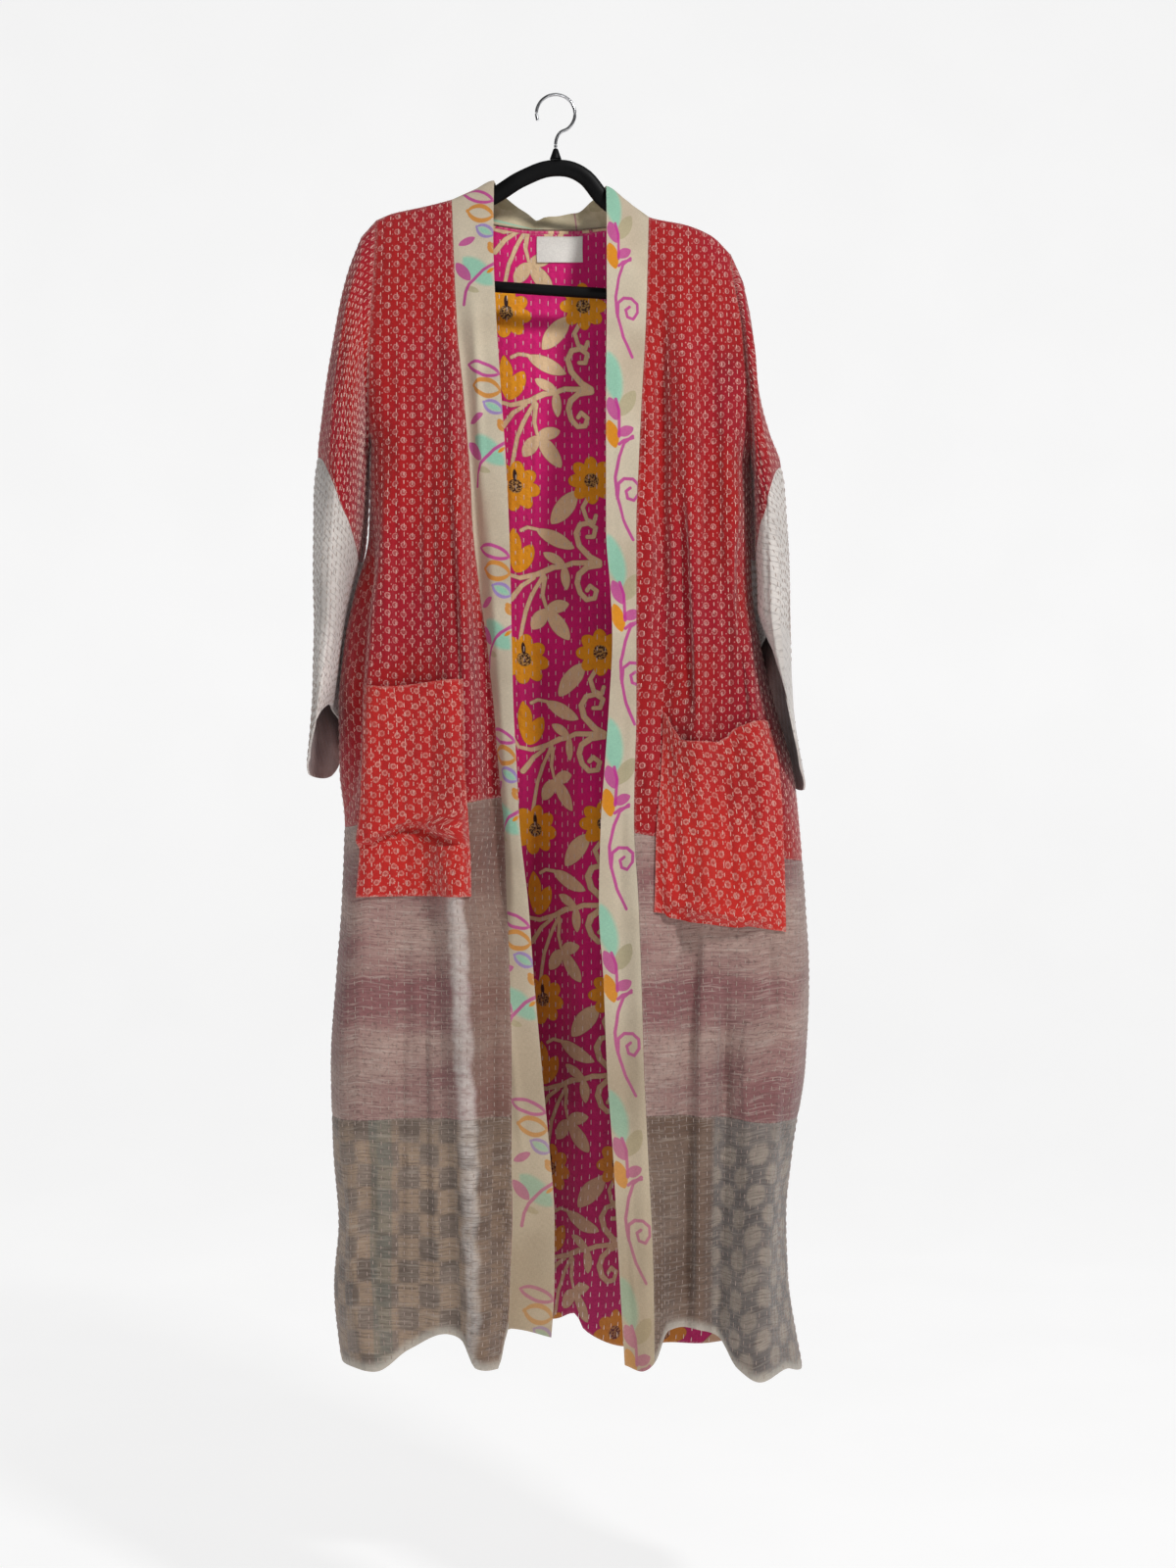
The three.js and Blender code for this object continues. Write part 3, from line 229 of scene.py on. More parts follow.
def faded(along, share=0.3):
    """Height of a crease along its length: 0 at both ends, whole between."""
    return smooth(along / share) * smooth((1 - along) / share)


def read(tab, key, at, column):
    """Value of one column of a table, on a smooth line that never overshoots its rows."""
    k, v = tab[key], tab[column]
    if k[0] > k[-1]:
        k, v = k[::-1], v[::-1]
    at = np.clip(at, k[0], k[-1])
    i = np.clip(np.searchsorted(k, at, side="right") - 1, 0, len(k) - 2)
    slope = np.diff(v) / np.diff(k)
    before, after = slope[:-1], slope[1:]
    total = np.where(before + after == 0, 1, before + after)
    inner = np.where(before * after > 0, 2 * before * after / total, 0)
    tangent = np.concatenate([slope[:1], inner, slope[-1:]])
    span = k[i + 1] - k[i]
    s = (at - k[i]) / span
    return ((2 * s**3 - 3 * s**2 + 1) * v[i] + (s**3 - 2 * s**2 + s) * span * tangent[i]
            + (3 * s**2 - 2 * s**3) * v[i + 1] + (s**3 - s**2) * span * tangent[i + 1])


def outline(column, z):
    return read(OUTLINE, "z", z, column)


def ridge(x):
    return read(RIDGE, "x", x, "z")


def folds(rows, x, z):
    """How far the folds of a table push the cloth out."""
    out = 0 * x
    for begin, full, top, bottom, width, tall, end in rows:
        grown = smooth((begin - z) / (begin - full))
        kept = smooth((z - end + FOLD_FADE) / FOLD_FADE) if end else 1
        down = np.clip((begin - z) / (begin - (end or HEM_MIDDLE)), 0, 1)
        out = out + tall * grown * kept * rounded((x - mix(top, bottom, down)) / width)
    return out


def creases(rows, x, z, fade=0.3):
    """How far creases along straight lines push the cloth out, fading at both ends."""
    out = 0 * x
    for x0, z0, x1, z1, width, tall in rows:
        long = math.hypot(x1 - x0, z1 - z0)
        along = ((x - x0) * (x1 - x0) + (z - z0) * (z1 - z0)) / long**2
        away = ((x - x0) * (z1 - z0) - (z - z0) * (x1 - x0)) / long / width
        out = out + tall * rounded(away) * faded(along, fade)
    return out


def crumple(a, b, size):
    """Slight unevenness of soft cloth, from a few crossing waves."""
    return size * (np.sin(a / 13 + 1.9 * np.sin(b / 47)) * np.sin(b / 61 + 1.3 * np.sin(a / 31))
                   + 0.5 * np.sin(a / 7.3 + 1.5 * np.sin(b / 29)) * np.sin(b / 23 + np.sin(a / 17)))


def arm_share(row):
    return np.clip(row / ARM_ROW, 0, 1) ** ARM_SPREAD


def height(row, top, underarm, upper, lower, hem):
    """Height of a grid row between a top edge, the underarm, the two joins and the hem."""
    arm = mix(top, underarm, arm_share(row))
    above = mix(underarm, upper, (row - ARM_ROW) / (UPPER_ROW - ARM_ROW))
    middle = mix(upper, lower, (row - UPPER_ROW) / (LOWER_ROW - UPPER_ROW))
    below = mix(lower, hem, (row - LOWER_ROW) / (HEM_ROW - LOWER_ROW))
    low = np.where(row <= LOWER_ROW, middle, below)
    return np.where(row <= ARM_ROW, arm, np.where(row <= UPPER_ROW, above, low))


def turn_start(row):
    return np.where(row >= ARM_ROW, 0, np.arcsin(0.9 * np.sqrt(1 - arm_share(row) ** 6)))


def side_height(side, row):
    end = 0 if side == "left" else -1
    return height(row, RIDGE["z"][end], UNDERARM[side], UPPER_SEAM[side], LOWER_SEAM[side],
                  FRONT_HEM["z"][end])


def front_points(side, row, column):
    """Points of a front. Columns run from the side over the turn and the panel to the band's edge."""
    left = side == "left"
    inward = 1 if left else -1
    band, opening = side + "_band", side + "_opening"
    underarm = UNDERARM[side]
    edge = outline(side, side_height(side, row))
    start = turn_start(row)
    turn_end = edge + inward * TURN_WIDTH * np.cos(start)
    neck_x = NECK_LEFT if left else NECK_RIGHT
    band_z = height(row, ridge(neck_x), underarm, UPPER_SEAM[band], LOWER_SEAM[band], BAND_HEM)
    band_x, opening_x = outline(band, band_z), outline(opening, band_z)
    angle = mix(start, np.pi / 2, np.clip(column / TURN_COLUMNS, 0, 1))
    x = edge + inward * TURN_WIDTH * (np.cos(start) - np.cos(angle))
    x = np.where(column > TURN_COLUMNS, mix(turn_end, band_x, (column - TURN_COLUMNS) / FRONT_COLUMNS), x)
    across = np.clip((column - TURN_COLUMNS - FRONT_COLUMNS) / BAND_COLUMNS, 0, 1)
    x = np.where(across > 0, mix(band_x, opening_x, across), x)
    share = np.clip((x - edge) / (band_x - edge), 0, 1)
    z = height(row, ridge(x), underarm, mix(UPPER_SEAM[side], UPPER_SEAM[band], share),
               mix(LOWER_SEAM[side], LOWER_SEAM[band], share), read(FRONT_HEM, "x", x, "z"))
    drop = ridge(x) - z
    depth = read(DEPTH, "drop", drop, "front")
    roll = 5 * smooth(across) * smooth(drop / 200)
    fold = folds(FRONT_FOLDS, x, z) * smooth(drop / 60) * np.sin(angle) ** 2
    y = -np.maximum(SEAM_GAP / 2, depth * np.sin(angle)) - fold - roll
    return np.stack([x, y, z], -1)


TOP_SPAN = TURN_WIDTH * math.cos(float(turn_start(np.array(0.0))))
BACK_TOP_X = np.concatenate([
    mix(RIDGE["x"][0] + TOP_SPAN, NECK_LEFT, np.arange(SHOULDER_COLUMNS) / SHOULDER_COLUMNS),
    mix(NECK_LEFT, NECK_RIGHT, np.array(NECK_COLUMNS)),
    mix(NECK_RIGHT, RIDGE["x"][-1] - TOP_SPAN, np.arange(1, SHOULDER_COLUMNS + 1) / SHOULDER_COLUMNS)])
BACK_COLUMNS = len(BACK_TOP_X) - 1
BACK_LAST = BACK_COLUMNS + 2 * TURN_COLUMNS


def back_points(row, column):
    """Points of the back. Columns run from the right side to the left side."""
    station = BACK_LAST - column - TURN_COLUMNS
    start = turn_start(row)
    left_edge = outline("left", side_height("left", row))
    right_edge = outline("right", side_height("right", row))
    left_turn = left_edge + TURN_WIDTH * np.cos(start)
    right_turn = right_edge - TURN_WIDTH * np.cos(start)
    outer = np.clip(np.maximum(-station, station - BACK_COLUMNS) / TURN_COLUMNS, 0, 1)
    angle = mix(np.pi / 2, start, outer)
    spread = smooth(row / (UPPER_ROW - 2))
    inside = np.clip(station, 0, BACK_COLUMNS)
    top_x = np.interp(inside, np.arange(BACK_COLUMNS + 1), BACK_TOP_X)
    top_share = (top_x - BACK_TOP_X[0]) / (BACK_TOP_X[-1] - BACK_TOP_X[0])
    x = mix(mix(left_turn, right_turn, top_share), mix(left_turn, right_turn, inside / BACK_COLUMNS), spread)
    x = np.where(row == 0, top_x, x)
    turn = TURN_WIDTH * (np.cos(start) - np.cos(angle))
    x = np.where(station < 0, left_edge + turn, np.where(station > BACK_COLUMNS, right_edge - turn, x))
    in_neck = (x > NECK_LEFT) & (x < NECK_RIGHT)
    top = np.where(in_neck, read(NECKLINE, "x", x, "z"), ridge(x))
    neck_out = np.where(in_neck, read(NECKLINE, "x", x, "y") - SEAM_GAP / 2, 0)
    share = (x - left_edge) / (right_edge - left_edge)
    z = height(row, top, mix(UNDERARM["left"], UNDERARM["right"], share),
               mix(UPPER_SEAM["left"], UPPER_SEAM["right"], share),
               mix(LOWER_SEAM["left"], LOWER_SEAM["right"], share), read(BACK_HEM, "x", x, "z"))
    drop = top - z
    depth = read(DEPTH, "drop", drop, "back")
    neck = neck_out * (1 - smooth(drop / NECK_FADE))
    fold = folds(BACK_FOLDS, x, z) * np.sin(angle) ** 2
    y = np.maximum(SEAM_GAP / 2, np.hypot(depth, neck) * np.sin(angle)) + fold
    y = np.where(row == 0, neck_out + SEAM_GAP / 2, y)
    return np.stack([x, y, z], -1)


def unit(vectors):
    return vectors / np.maximum(np.linalg.norm(vectors, axis=-1, keepdims=True), 1e-9)


def normals_of(points, closed=False):
    """Outward directions of a grid whose rows run down."""
    if closed:
        along = np.roll(points, -1, 1) - np.roll(points, 1, 1)
    else:
        along = np.gradient(points, axis=1)
    down = np.gradient(points, axis=0)
    return unit(np.cross(down, along))


class Sheet:
    """A grid of points with outward directions and cloth coordinates u, v in mm."""

    def __init__(self, points, normals=None, closed=False, grain=None, rows=None, columns=None):
        self.p, self.closed = points, closed
        self.n = normals_of(points, closed) if normals is None else normals
        self.rows, self.columns = rows, columns
        ring = np.concatenate([points, points[:, :1]], 1) if closed else points
        step = np.linalg.norm(np.diff(ring, axis=1), axis=-1)
        u = np.concatenate([np.zeros((len(points), 1)), np.cumsum(step, 1)], 1)
        if grain is not None:
            x = points[..., 0]
            for r in range(len(points)):
                order = slice(None) if x[r, -1] > x[r, 0] else slice(None, None, -1)
                u[r] -= np.interp(grain, x[r, order], u[r, order])
        drop = np.linalg.norm(np.diff(ring, axis=0), axis=-1)
        self.u = u
        self.v = np.concatenate([np.zeros((1, ring.shape[1])), np.cumsum(drop, 0)], 0) - ring[:1, :, 2]

    def cut(self, keep, closed=False):
        """Piece of the sheet at the places kept."""
        piece = Sheet.__new__(Sheet)
        piece.p, piece.n, piece.closed = self.p[keep].copy(), self.n[keep].copy(), closed
        piece.u, piece.v = self.u[keep], self.v[keep]
        return piece

    def part(self, row_from, row_to, column_from, column_to):
        """Piece of the sheet between two rows and two columns of its own numbering."""
        at_rows = [int(np.argmin(abs(self.rows - r))) for r in (row_from, row_to)]
        at_columns = sorted(int(np.argmin(abs(self.columns - c))) for c in (column_from, column_to))
        return self.cut(np.ix_(range(at_rows[0], at_rows[1] + 1), range(at_columns[0], at_columns[1] + 1)))

    def moved(self, distance):
        piece = Sheet.__new__(Sheet)
        piece.__dict__.update(self.__dict__)
        piece.p = self.p + self.n * (distance if np.isscalar(distance) else np.asarray(distance)[..., None])
        return piece


def pulled(piece, edges):
    """The piece drawn in by half a seam at the edges named, with its rim dipping into the seam."""
    half = SEAM_GAP / 2
    p = piece.p
    pairs = {"top": (p[0], p[1]), "bottom": (p[-1], p[-2]),
             "start": (p[:, 0], p[:, 1]), "end": (p[:, -1], p[:, -2])}
    for edge in edges.split():
        line, inner = pairs[edge]
        line += unit(inner - line) * half
    return piece


def spaced(zones):
    """Row numbers for a list of zones: from, to, steps."""
    lines = [np.linspace(a, b, n + 1)[:-1] for a, b, n in zones]
    return np.append(np.concatenate(lines), zones[-1][1])


ROWS = spaced(FINE_ROWS)


def seam_dip(distance, width=2.2, deep=0.9):
    """Groove where two pieces are sewn together, by distance in mm."""
    return -deep * np.exp(-((distance / width) ** 2))


def front_sheet(side):
    last = TURN_COLUMNS + FRONT_COLUMNS + BAND_COLUMNS
    columns = spaced([(0, TURN_COLUMNS, 12), (TURN_COLUMNS, TURN_COLUMNS + FRONT_COLUMNS, 44),
                      (TURN_COLUMNS + FRONT_COLUMNS, last, 15)])
    if side == "right":
        columns = columns[::-1]
    row, column = np.meshgrid(ROWS, columns, indexing="ij")
    p = front_points(side, row, column)
    n = normals_of(p)
    n[0, :, 1] = 0
    n[0] = unit(n[0])
    at_side = 0 if side == "left" else -1
    n[ROWS >= ARM_ROW, at_side, 1] = 0
    n = unit(n)
    x, z = p[..., 0], p[..., 2]
    drop = ridge(x) - z
    free = smooth(drop / 40) * smooth(column / 3)
    out = creases(FRONT_CREASES, x, z) + crumple(x, z, 0.55) * free
    band_seam = abs(column - TURN_COLUMNS - FRONT_COLUMNS) * 12
    out = out + seam_dip(band_seam, 3.0, 1.0) * smooth(drop / 20)
    for seam_row in (UPPER_ROW, LOWER_ROW):
        out = out + seam_dip(abs(row - seam_row) * 50, 2.6, 0.9) * (column < TURN_COLUMNS + FRONT_COLUMNS)
    ends = smooth(drop / 15) * smooth(column / 1.5)
    return Sheet(p + n * (out * ends)[..., None], n, grain=-150 if side == "left" else 160,
                 rows=ROWS, columns=columns)


def back_sheet():
    columns = spaced([(0, TURN_COLUMNS, 12), (TURN_COLUMNS, TURN_COLUMNS + BACK_COLUMNS, 6 * BACK_COLUMNS),
                      (TURN_COLUMNS + BACK_COLUMNS, BACK_LAST, 12)])
    row, column = np.meshgrid(ROWS, columns, indexing="ij")
    p = back_points(row, column)
    n = normals_of(p)
    shoulder = p[0, :, 1] <= 1
    n[0, shoulder, 1] = 0
    n[ROWS >= ARM_ROW, 0, 1] = 0
    n[ROWS >= ARM_ROW, -1, 1] = 0
    n = unit(n)
    x, z = p[..., 0], p[..., 2]
    drop = p[:1, :, 2] - z
    sides = smooth(np.minimum(column, BACK_LAST - column) / 1.5)
    out = creases(BACK_CREASES, x, z) + crumple(x + 90, z + 40, 0.6)
    for seam_row in (UPPER_ROW, LOWER_ROW):
        out = out + seam_dip(abs(row - seam_row) * 50, 2.6, 0.9)
    ends = smooth(drop / 25) * sides
    return Sheet(p + n * (out * ends)[..., None], n, grain=0, rows=ROWS, columns=columns)


def sleeve_sheet(side):
    """Rings of a sleeve from the armhole to the mouth, round the arm from its top over the front."""
    left = side == "left"
    outward = -1 if left else 1
    turns = np.linspace(0, 2 * np.pi, 85)[:-1]
    if not left:
        turns = -turns
    rings = spaced([(0, 1, 9), (1, CUFF_RING, 34), (CUFF_RING, 10, 40)])
    share = (1 - np.cos(turns)) / 2
    row = ARM_ROW * share ** (1 / ARM_SPREAD)
    ahead = np.sin(turns) >= 0
    zero = np.zeros_like(row)
    front = front_points(side, row, zero)
    back = back_points(row, zero + (BACK_LAST if left else 0))
    armhole = np.where(ahead[:, None], front, back)
    armhole[:, 0] += outward * SEAM_GAP
    armhole[:, 1] = np.where(abs(np.sin(turns)) < 1e-6, 0, armhole[:, 1])

    def ring(t):
        value = {k: float(read(SLEEVE[side], "ring", np.array(float(t)), k)) for k in SLEEVE[side]}
        over, through = (1 + np.cos(turns)) / 2, -np.sin(turns)
        lean = np.where(through < 0, value["front"], value["back"])
        lean = lean * smooth(abs(value["depth"] * through) / LEAN_WHOLE)
        x = mix(value["inner_x"], value["outer_x"], over) - outward * lean
        z = mix(value["inner_z"], value["outer_z"], over) - value["tilt"] * through
        return np.stack([x, value["depth"] * through, z], -1)

    first = ring(1)
    p = np.stack([mix(armhole, first, t) if t < 1 else ring(t) for t in rings])
    n = normals_of(p, True)
    n[0, :, 0] = 0
    n = unit(n)
    degrees = np.degrees(turns) % 360
    out = np.zeros(p.shape[:2])
    for a0, a1, r0, r1, width, tall in SLEEVE_CREASES:
        along = (rings[:, None] - r0) / (r1 - r0)
        away = (degrees[None] - mix(a0, a1, np.clip(along, 0, 1)) + 180) % 360 - 180
        out += tall * rounded(away / width) * faded(along)
    out += crumple(p[..., 1] * 1.3, p[..., 2], 0.6) + seam_dip((rings[:, None] - CUFF_RING) * 18, 2.6, 0.9)
    out *= smooth(rings[:, None] / 0.6)
    # the sleeve hangs beside the body, so nothing bulges towards it
    towards_body = n[..., 0] * -outward
    out = np.where(out > 0, out * (1 - smooth(towards_body / 0.4)), out)
    return Sheet(p + n * out[..., None], n, closed=True, rows=rings)


# ---------------------------------------------------------------- meshes
def wall(name, piece, thick, slots):
    """Closed wall of a sheet, its thickness laid inwards. Slots are the outer and inner materials."""
    p, n = piece.p, piece.n
    rows, columns = p.shape[:2]
    closed = piece.closed
    outer = p.reshape(-1, 3)
    inner = (p - n * thick).reshape(-1, 3)
    spans = columns if closed else columns - 1
    r, c = np.meshgrid(np.arange(rows - 1), np.arange(spans), indexing="ij")
    r, c = r.ravel(), c.ravel()

    def at(row, column):
        return row * columns + column % columns

    def quads(first, second, third, fourth):
        return np.stack([at(*first), at(*second), at(*third), at(*fourth)], -1)

    def corners(pairs):
        return np.stack([np.stack(pair, -1) for pair in pairs], 1)

    out_faces = quads((r, c), (r + 1, c), (r + 1, c + 1), (r, c + 1))
    out_where = corners([(r, c), (r + 1, c), (r + 1, c + 1), (r, c + 1)])
    count = rows * columns
    in_faces = out_faces[:, ::-1] + count
    in_where = out_where[:, ::-1]
    rims, rim_where = [], []
    edge = np.arange(spans)
    zero = np.zeros_like(edge)
    end = zero + rows - 1
    # each rim runs so that its faces look away from the cloth
    lines = [((zero, edge + 1), (zero, edge)), ((end, edge), (end, edge + 1))]
    if not closed:
        side = np.arange(rows - 1)
        none = np.zeros_like(side)
        last = none + columns - 1
        lines += [((side, none), (side + 1, none)), ((side + 1, last), (side, last))]
    for first, second in lines:
        a, b = at(*first), at(*second)
        rims.append(np.stack([b, a, a + count, b + count], -1))
        rim_where.append(corners([second, first, first, second]))
    faces = np.concatenate([out_faces, in_faces, *rims])
    where = np.concatenate([out_where, in_where, *rim_where])
    mesh = bpy.data.meshes.new(name)
    mesh.from_pydata((np.concatenate([outer, inner]) * MM).tolist(), [], faces.tolist())
    uv = mesh.uv_layers.new(name="Cloth")
    spots = where.reshape(-1, 2)
    values = np.stack([piece.u[spots[:, 0], spots[:, 1]], -piece.v[spots[:, 0], spots[:, 1]]], -1) * MM
    uv.data.foreach_set("uv", values.ravel().astype(np.float32))
    # how near each point is to an edge of its piece, for wear, and how far above its lower edge it is
    u, v = piece.u[:, :columns], piece.v[:, :columns]
    sides = np.minimum(u - u[:, :1], u[:, -1:] - u) if not closed else u * 0 + 1000
    ends = np.minimum(v - v[:1], v[-1:] - v)
    for title, value in (("edge", np.minimum(abs(sides), ends)), ("low", v[-1:] - v)):
        layer = mesh.attributes.new(title, "FLOAT", "POINT")
        layer.data.foreach_set("value", np.tile(value.ravel() * MM, 2).astype(np.float32))
    for slot in slots:
        mesh.materials.append(slot)
    index = np.zeros(len(faces), np.int32)
    if len(slots) > 1:
        index[len(out_faces):2 * len(out_faces)] = 1
    mesh.polygons.foreach_set("material_index", index)
    mesh.update()
    thing = bpy.data.objects.new(name, mesh)
    bpy.context.scene.collection.objects.link(thing)
    soften(thing, 50)
    return thing


def only(thing):
    bpy.ops.object.select_all(action="DESELECT")
    thing.select_set(True)
    bpy.context.view_layer.objects.active = thing


def soften(thing, degrees):
    only(thing)
    bpy.ops.object.shade_smooth_by_angle(angle=math.radians(degrees))


def sampled(piece, lines, steps, rng, spread):
    """Places on a sheet for running stitches: rows of dashes down it, at u = lines and v by steps."""
    places, downs, outs, sizes = [], [], [], []
    u, v = piece.u[:, :piece.p.shape[1]], piece.v[:, :piece.p.shape[1]]
    flip = slice(None) if u[0, -1] > u[0, 0] else slice(None, None, -1)
    for line in lines:
        path = []
        for r in range(len(u)):
            ur = u[r, flip]
            if not ur[0] + 2.5 < line < ur[-1] - 2.5:
                continue
            channels = [np.interp(line, ur, v[r, flip])]
            channels += [np.interp(line, ur, piece.p[r, flip, k]) for k in range(3)]
            channels += [np.interp(line, ur, piece.n[r, flip, k]) for k in range(3)]
            path.append(channels)
        if len(path) < 3:
            continue
        path = np.array(path)
        phase = rng.uniform(0, steps)
        stations = np.arange(path[0, 0] + 3 + phase % 4, path[-1, 0] - 3, steps)
        stations = stations + rng.uniform(-spread, spread, len(stations)) * steps
        for k in stations:
            if not path[0, 0] + 3 < k < path[-1, 0] - 3:
                continue
            here = [np.interp(k, path[:, 0], path[:, m]) for m in range(1, 7)]
            next_one = [np.interp(k + 2, path[:, 0], path[:, m]) for m in range(1, 4)]
            places.append(here[:3])
            outs.append(here[3:])
            downs.append(np.array(next_one) - here[:3])
            sizes.append(rng.uniform(0.85, 1.15))
    return np.array(places), unit(np.array(downs)), unit(np.array(outs)), np.array(sizes)


# ---------------------------------------------------------------- materials
def rgb(r, g, b):
    """Linear colour of an sRGB one."""
    def line(c):
        c /= 255
        return c / 12.92 if c <= 0.04045 else ((c + 0.055) / 1.055) ** 2.4
    return (line(r), line(g), line(b), 1)


class Net:
    """Writes nodes into a tree: numbers and sockets go in, sockets come out."""

    def __init__(self, tree):
        self.tree = tree

    def node(self, kind, **settings):
        made = self.tree.nodes.new(kind)
        for key, value in settings.items():
            setattr(made, key, value)
        return made

    def feed(self, socket, value):
        if isinstance(value, bpy.types.NodeSocket):
            self.tree.links.new(value, socket)
        else:
            socket.default_value = value

    def math(self, operation, *values, clamp=False):
        made = self.node("ShaderNodeMath", operation=operation, use_clamp=clamp)
        for socket, value in zip(made.inputs, values):
            self.feed(socket, value)
        return made.outputs[0]

    def plus(self, a, b):
        return self.math("ADD", a, b)

    def minus(self, a, b):
        return self.math("SUBTRACT", a, b)

    def times(self, a, b):
        return self.math("MULTIPLY", a, b)

    def size(self, a):
        return self.math("ABSOLUTE", a)

    def wave(self, value, period, kind="SINE"):
        return self.math(kind, self.times(value, 2 * math.pi / period))

    def vec(self, operation, *values):
        made = self.node("ShaderNodeVectorMath", operation=operation)
        for socket, value in zip(made.inputs, values):
            self.feed(socket, value)
        return made.outputs[1 if operation in ("LENGTH", "DISTANCE", "DOT_PRODUCT") else 0]

    def scaled(self, vector, by):
        made = self.node("ShaderNodeVectorMath", operation="SCALE")
        self.feed(made.inputs[0], vector)
        self.feed(made.inputs["Scale"], by)
        return made.outputs[0]

    def split(self, vector):
        made = self.node("ShaderNodeSeparateXYZ")
        self.feed(made.inputs[0], vector)
        return made.outputs[0], made.outputs[1]

    def join(self, x, y, z=0.0):
        made = self.node("ShaderNodeCombineXYZ")
        for socket, value in zip(made.inputs, (x, y, z)):
            self.feed(socket, value)
        return made.outputs[0]

    def turned(self, vector, degrees):
        made = self.node("ShaderNodeVectorRotate", rotation_type="Z_AXIS")
        self.feed(made.inputs["Vector"], vector)
        self.feed(made.inputs["Angle"], math.radians(degrees))
        return made.outputs[0]

    def ramp(self, value, low, high, a=0.0, b=1.0):
        """From a to b, smoothly, as value goes from low to high."""
        made = self.node("ShaderNodeMapRange", interpolation_type="SMOOTHSTEP")
        given = (value, low, high, a, b)
        for key, each in zip(("Value", "From Min", "From Max", "To Min", "To Max"), given):
            self.feed(made.inputs[key], each)
        return made.outputs[0]

    def inside(self, distance, soft=0.3):
        """1 where a signed distance is below zero."""
        return self.ramp(distance, -soft, soft, 1.0, 0.0)

    def blend(self, share, a, b, mode="MIX"):
        made = self.node("ShaderNodeMix", data_type="RGBA", blend_type=mode)
        self.feed(made.inputs["Factor"], share)
        self.feed(made.inputs[6], a)
        self.feed(made.inputs[7], b)
        return made.outputs[2]

    def noise(self, vector, scale, detail=2.0, rough=0.5):
        made = self.node("ShaderNodeTexNoise")
        self.feed(made.inputs["Vector"], vector)
        self.feed(made.inputs["Scale"], scale)
        self.feed(made.inputs["Detail"], detail)
        self.feed(made.inputs["Roughness"], rough)
        return made.outputs["Fac"]

    def length(self, vector):
        """Distance from the middle of a flat repeat."""
        return self.vec("LENGTH", self.vec("MULTIPLY", vector, (1, 1, 0)))

    def repeat(self, vector, wide, tall, middle=(0, 0)):
        """Coordinates that start again every wide across and tall down, about a middle."""
        x, y = middle
        return self.vec("WRAP", vector, (wide / 2 + x, tall / 2 + y, 1), (-wide / 2 + x, -tall / 2 + y, -1))

    def rim(self, distance, half):
        """Signed distance from a line of that half width round a shape."""
        return self.minus(self.size(distance), half)

    def relief(self, shader, strength, distance, height):
        made = self.node("ShaderNodeBump")
        for key, value in (("Strength", strength), ("Distance", distance), ("Height", height)):
            self.feed(made.inputs[key], value)
        self.feed(shader.inputs["Normal"], made.outputs[0])

    def least(self, values):
        found = values[0]
        for value in values[1:]:
            found = self.math("MINIMUM", found, value)
        return found

    def group(self, tree, **values):
        made = self.node("ShaderNodeGroup", node_tree=tree)
        for key, value in values.items():
            self.feed(made.inputs[key], value)
        return made.outputs[0]


def node_group(name, inputs, build):
    """Node group with the named inputs and one number out."""
    tree = bpy.data.node_groups.new(name, "ShaderNodeTree")
    for title, kind in inputs:
        tree.interface.new_socket(title, in_out="INPUT", socket_type=kind)
    tree.interface.new_socket("Distance", in_out="OUTPUT", socket_type="NodeSocketFloat")
    net = Net(tree)
    entry, leave = net.node("NodeGroupInput"), net.node("NodeGroupOutput")
    net.feed(leave.inputs[0], build(net, *[entry.outputs[title] for title, _ in inputs]))
    return tree


VECTOR, FLOAT = "NodeSocketVector", "NodeSocketFloat"


def nearest(net, p, a, b):
    """Share of the way from a to b that is nearest to p, and the distance to it."""
    along = net.vec("SUBTRACT", b, a)
    away = net.vec("SUBTRACT", p, a)
    share = net.math("DIVIDE", net.vec("DOT_PRODUCT", away, along),
                     net.vec("DOT_PRODUCT", along, along), clamp=True)
    return share, net.vec("LENGTH", net.vec("SUBTRACT", away, net.scaled(along, share)))


def stroke_distance(net, p, a, b, wide_a, wide_b):
    """Distance from a line whose width goes from wide_a at a to wide_b at b."""
    share, near = nearest(net, p, a, b)
    half = net.times(net.math("MULTIPLY_ADD", net.minus(wide_b, wide_a), share, wide_a), 0.5)
    return net.minus(near, half)


def leaf_distance(net, p, a, b, wide):
    """Distance from a leaf that runs from a to b, widest in its middle."""
    share, near = nearest(net, p, a, b)
    bow = net.math("POWER", net.times(share, net.minus(1.0, share)), 0.72)
    return net.minus(near, net.times(net.times(bow, 1.36), wide))


ENDS = [("P", VECTOR), ("A", VECTOR), ("B", VECTOR)]
STROKE = node_group("Stroke", ENDS + [("WideA", FLOAT), ("WideB", FLOAT)], stroke_distance)
LEAF = node_group("Leaf", ENDS + [("Wide", FLOAT)], leaf_distance)


def strokes(net, p, path, wide, last=None):
    """Distance from a line through the points of a path, its width going from wide to last."""
    last = wide if last is None else last
    widths = np.linspace(wide, last, len(path)).tolist()
    return net.least([net.group(STROKE, P=p, A=(*a, 0), B=(*b, 0), WideA=wide_a, WideB=wide_b)
                      for a, b, wide_a, wide_b in zip(path, path[1:], widths, widths[1:])])


def leaves(net, p, rows):
    return net.least([net.group(LEAF, P=p, A=(ax, ay, 0), B=(bx, by, 0), Wide=float(wide))
                      for ax, ay, bx, by, wide in rows])


THREAD_PITCH = 0.8


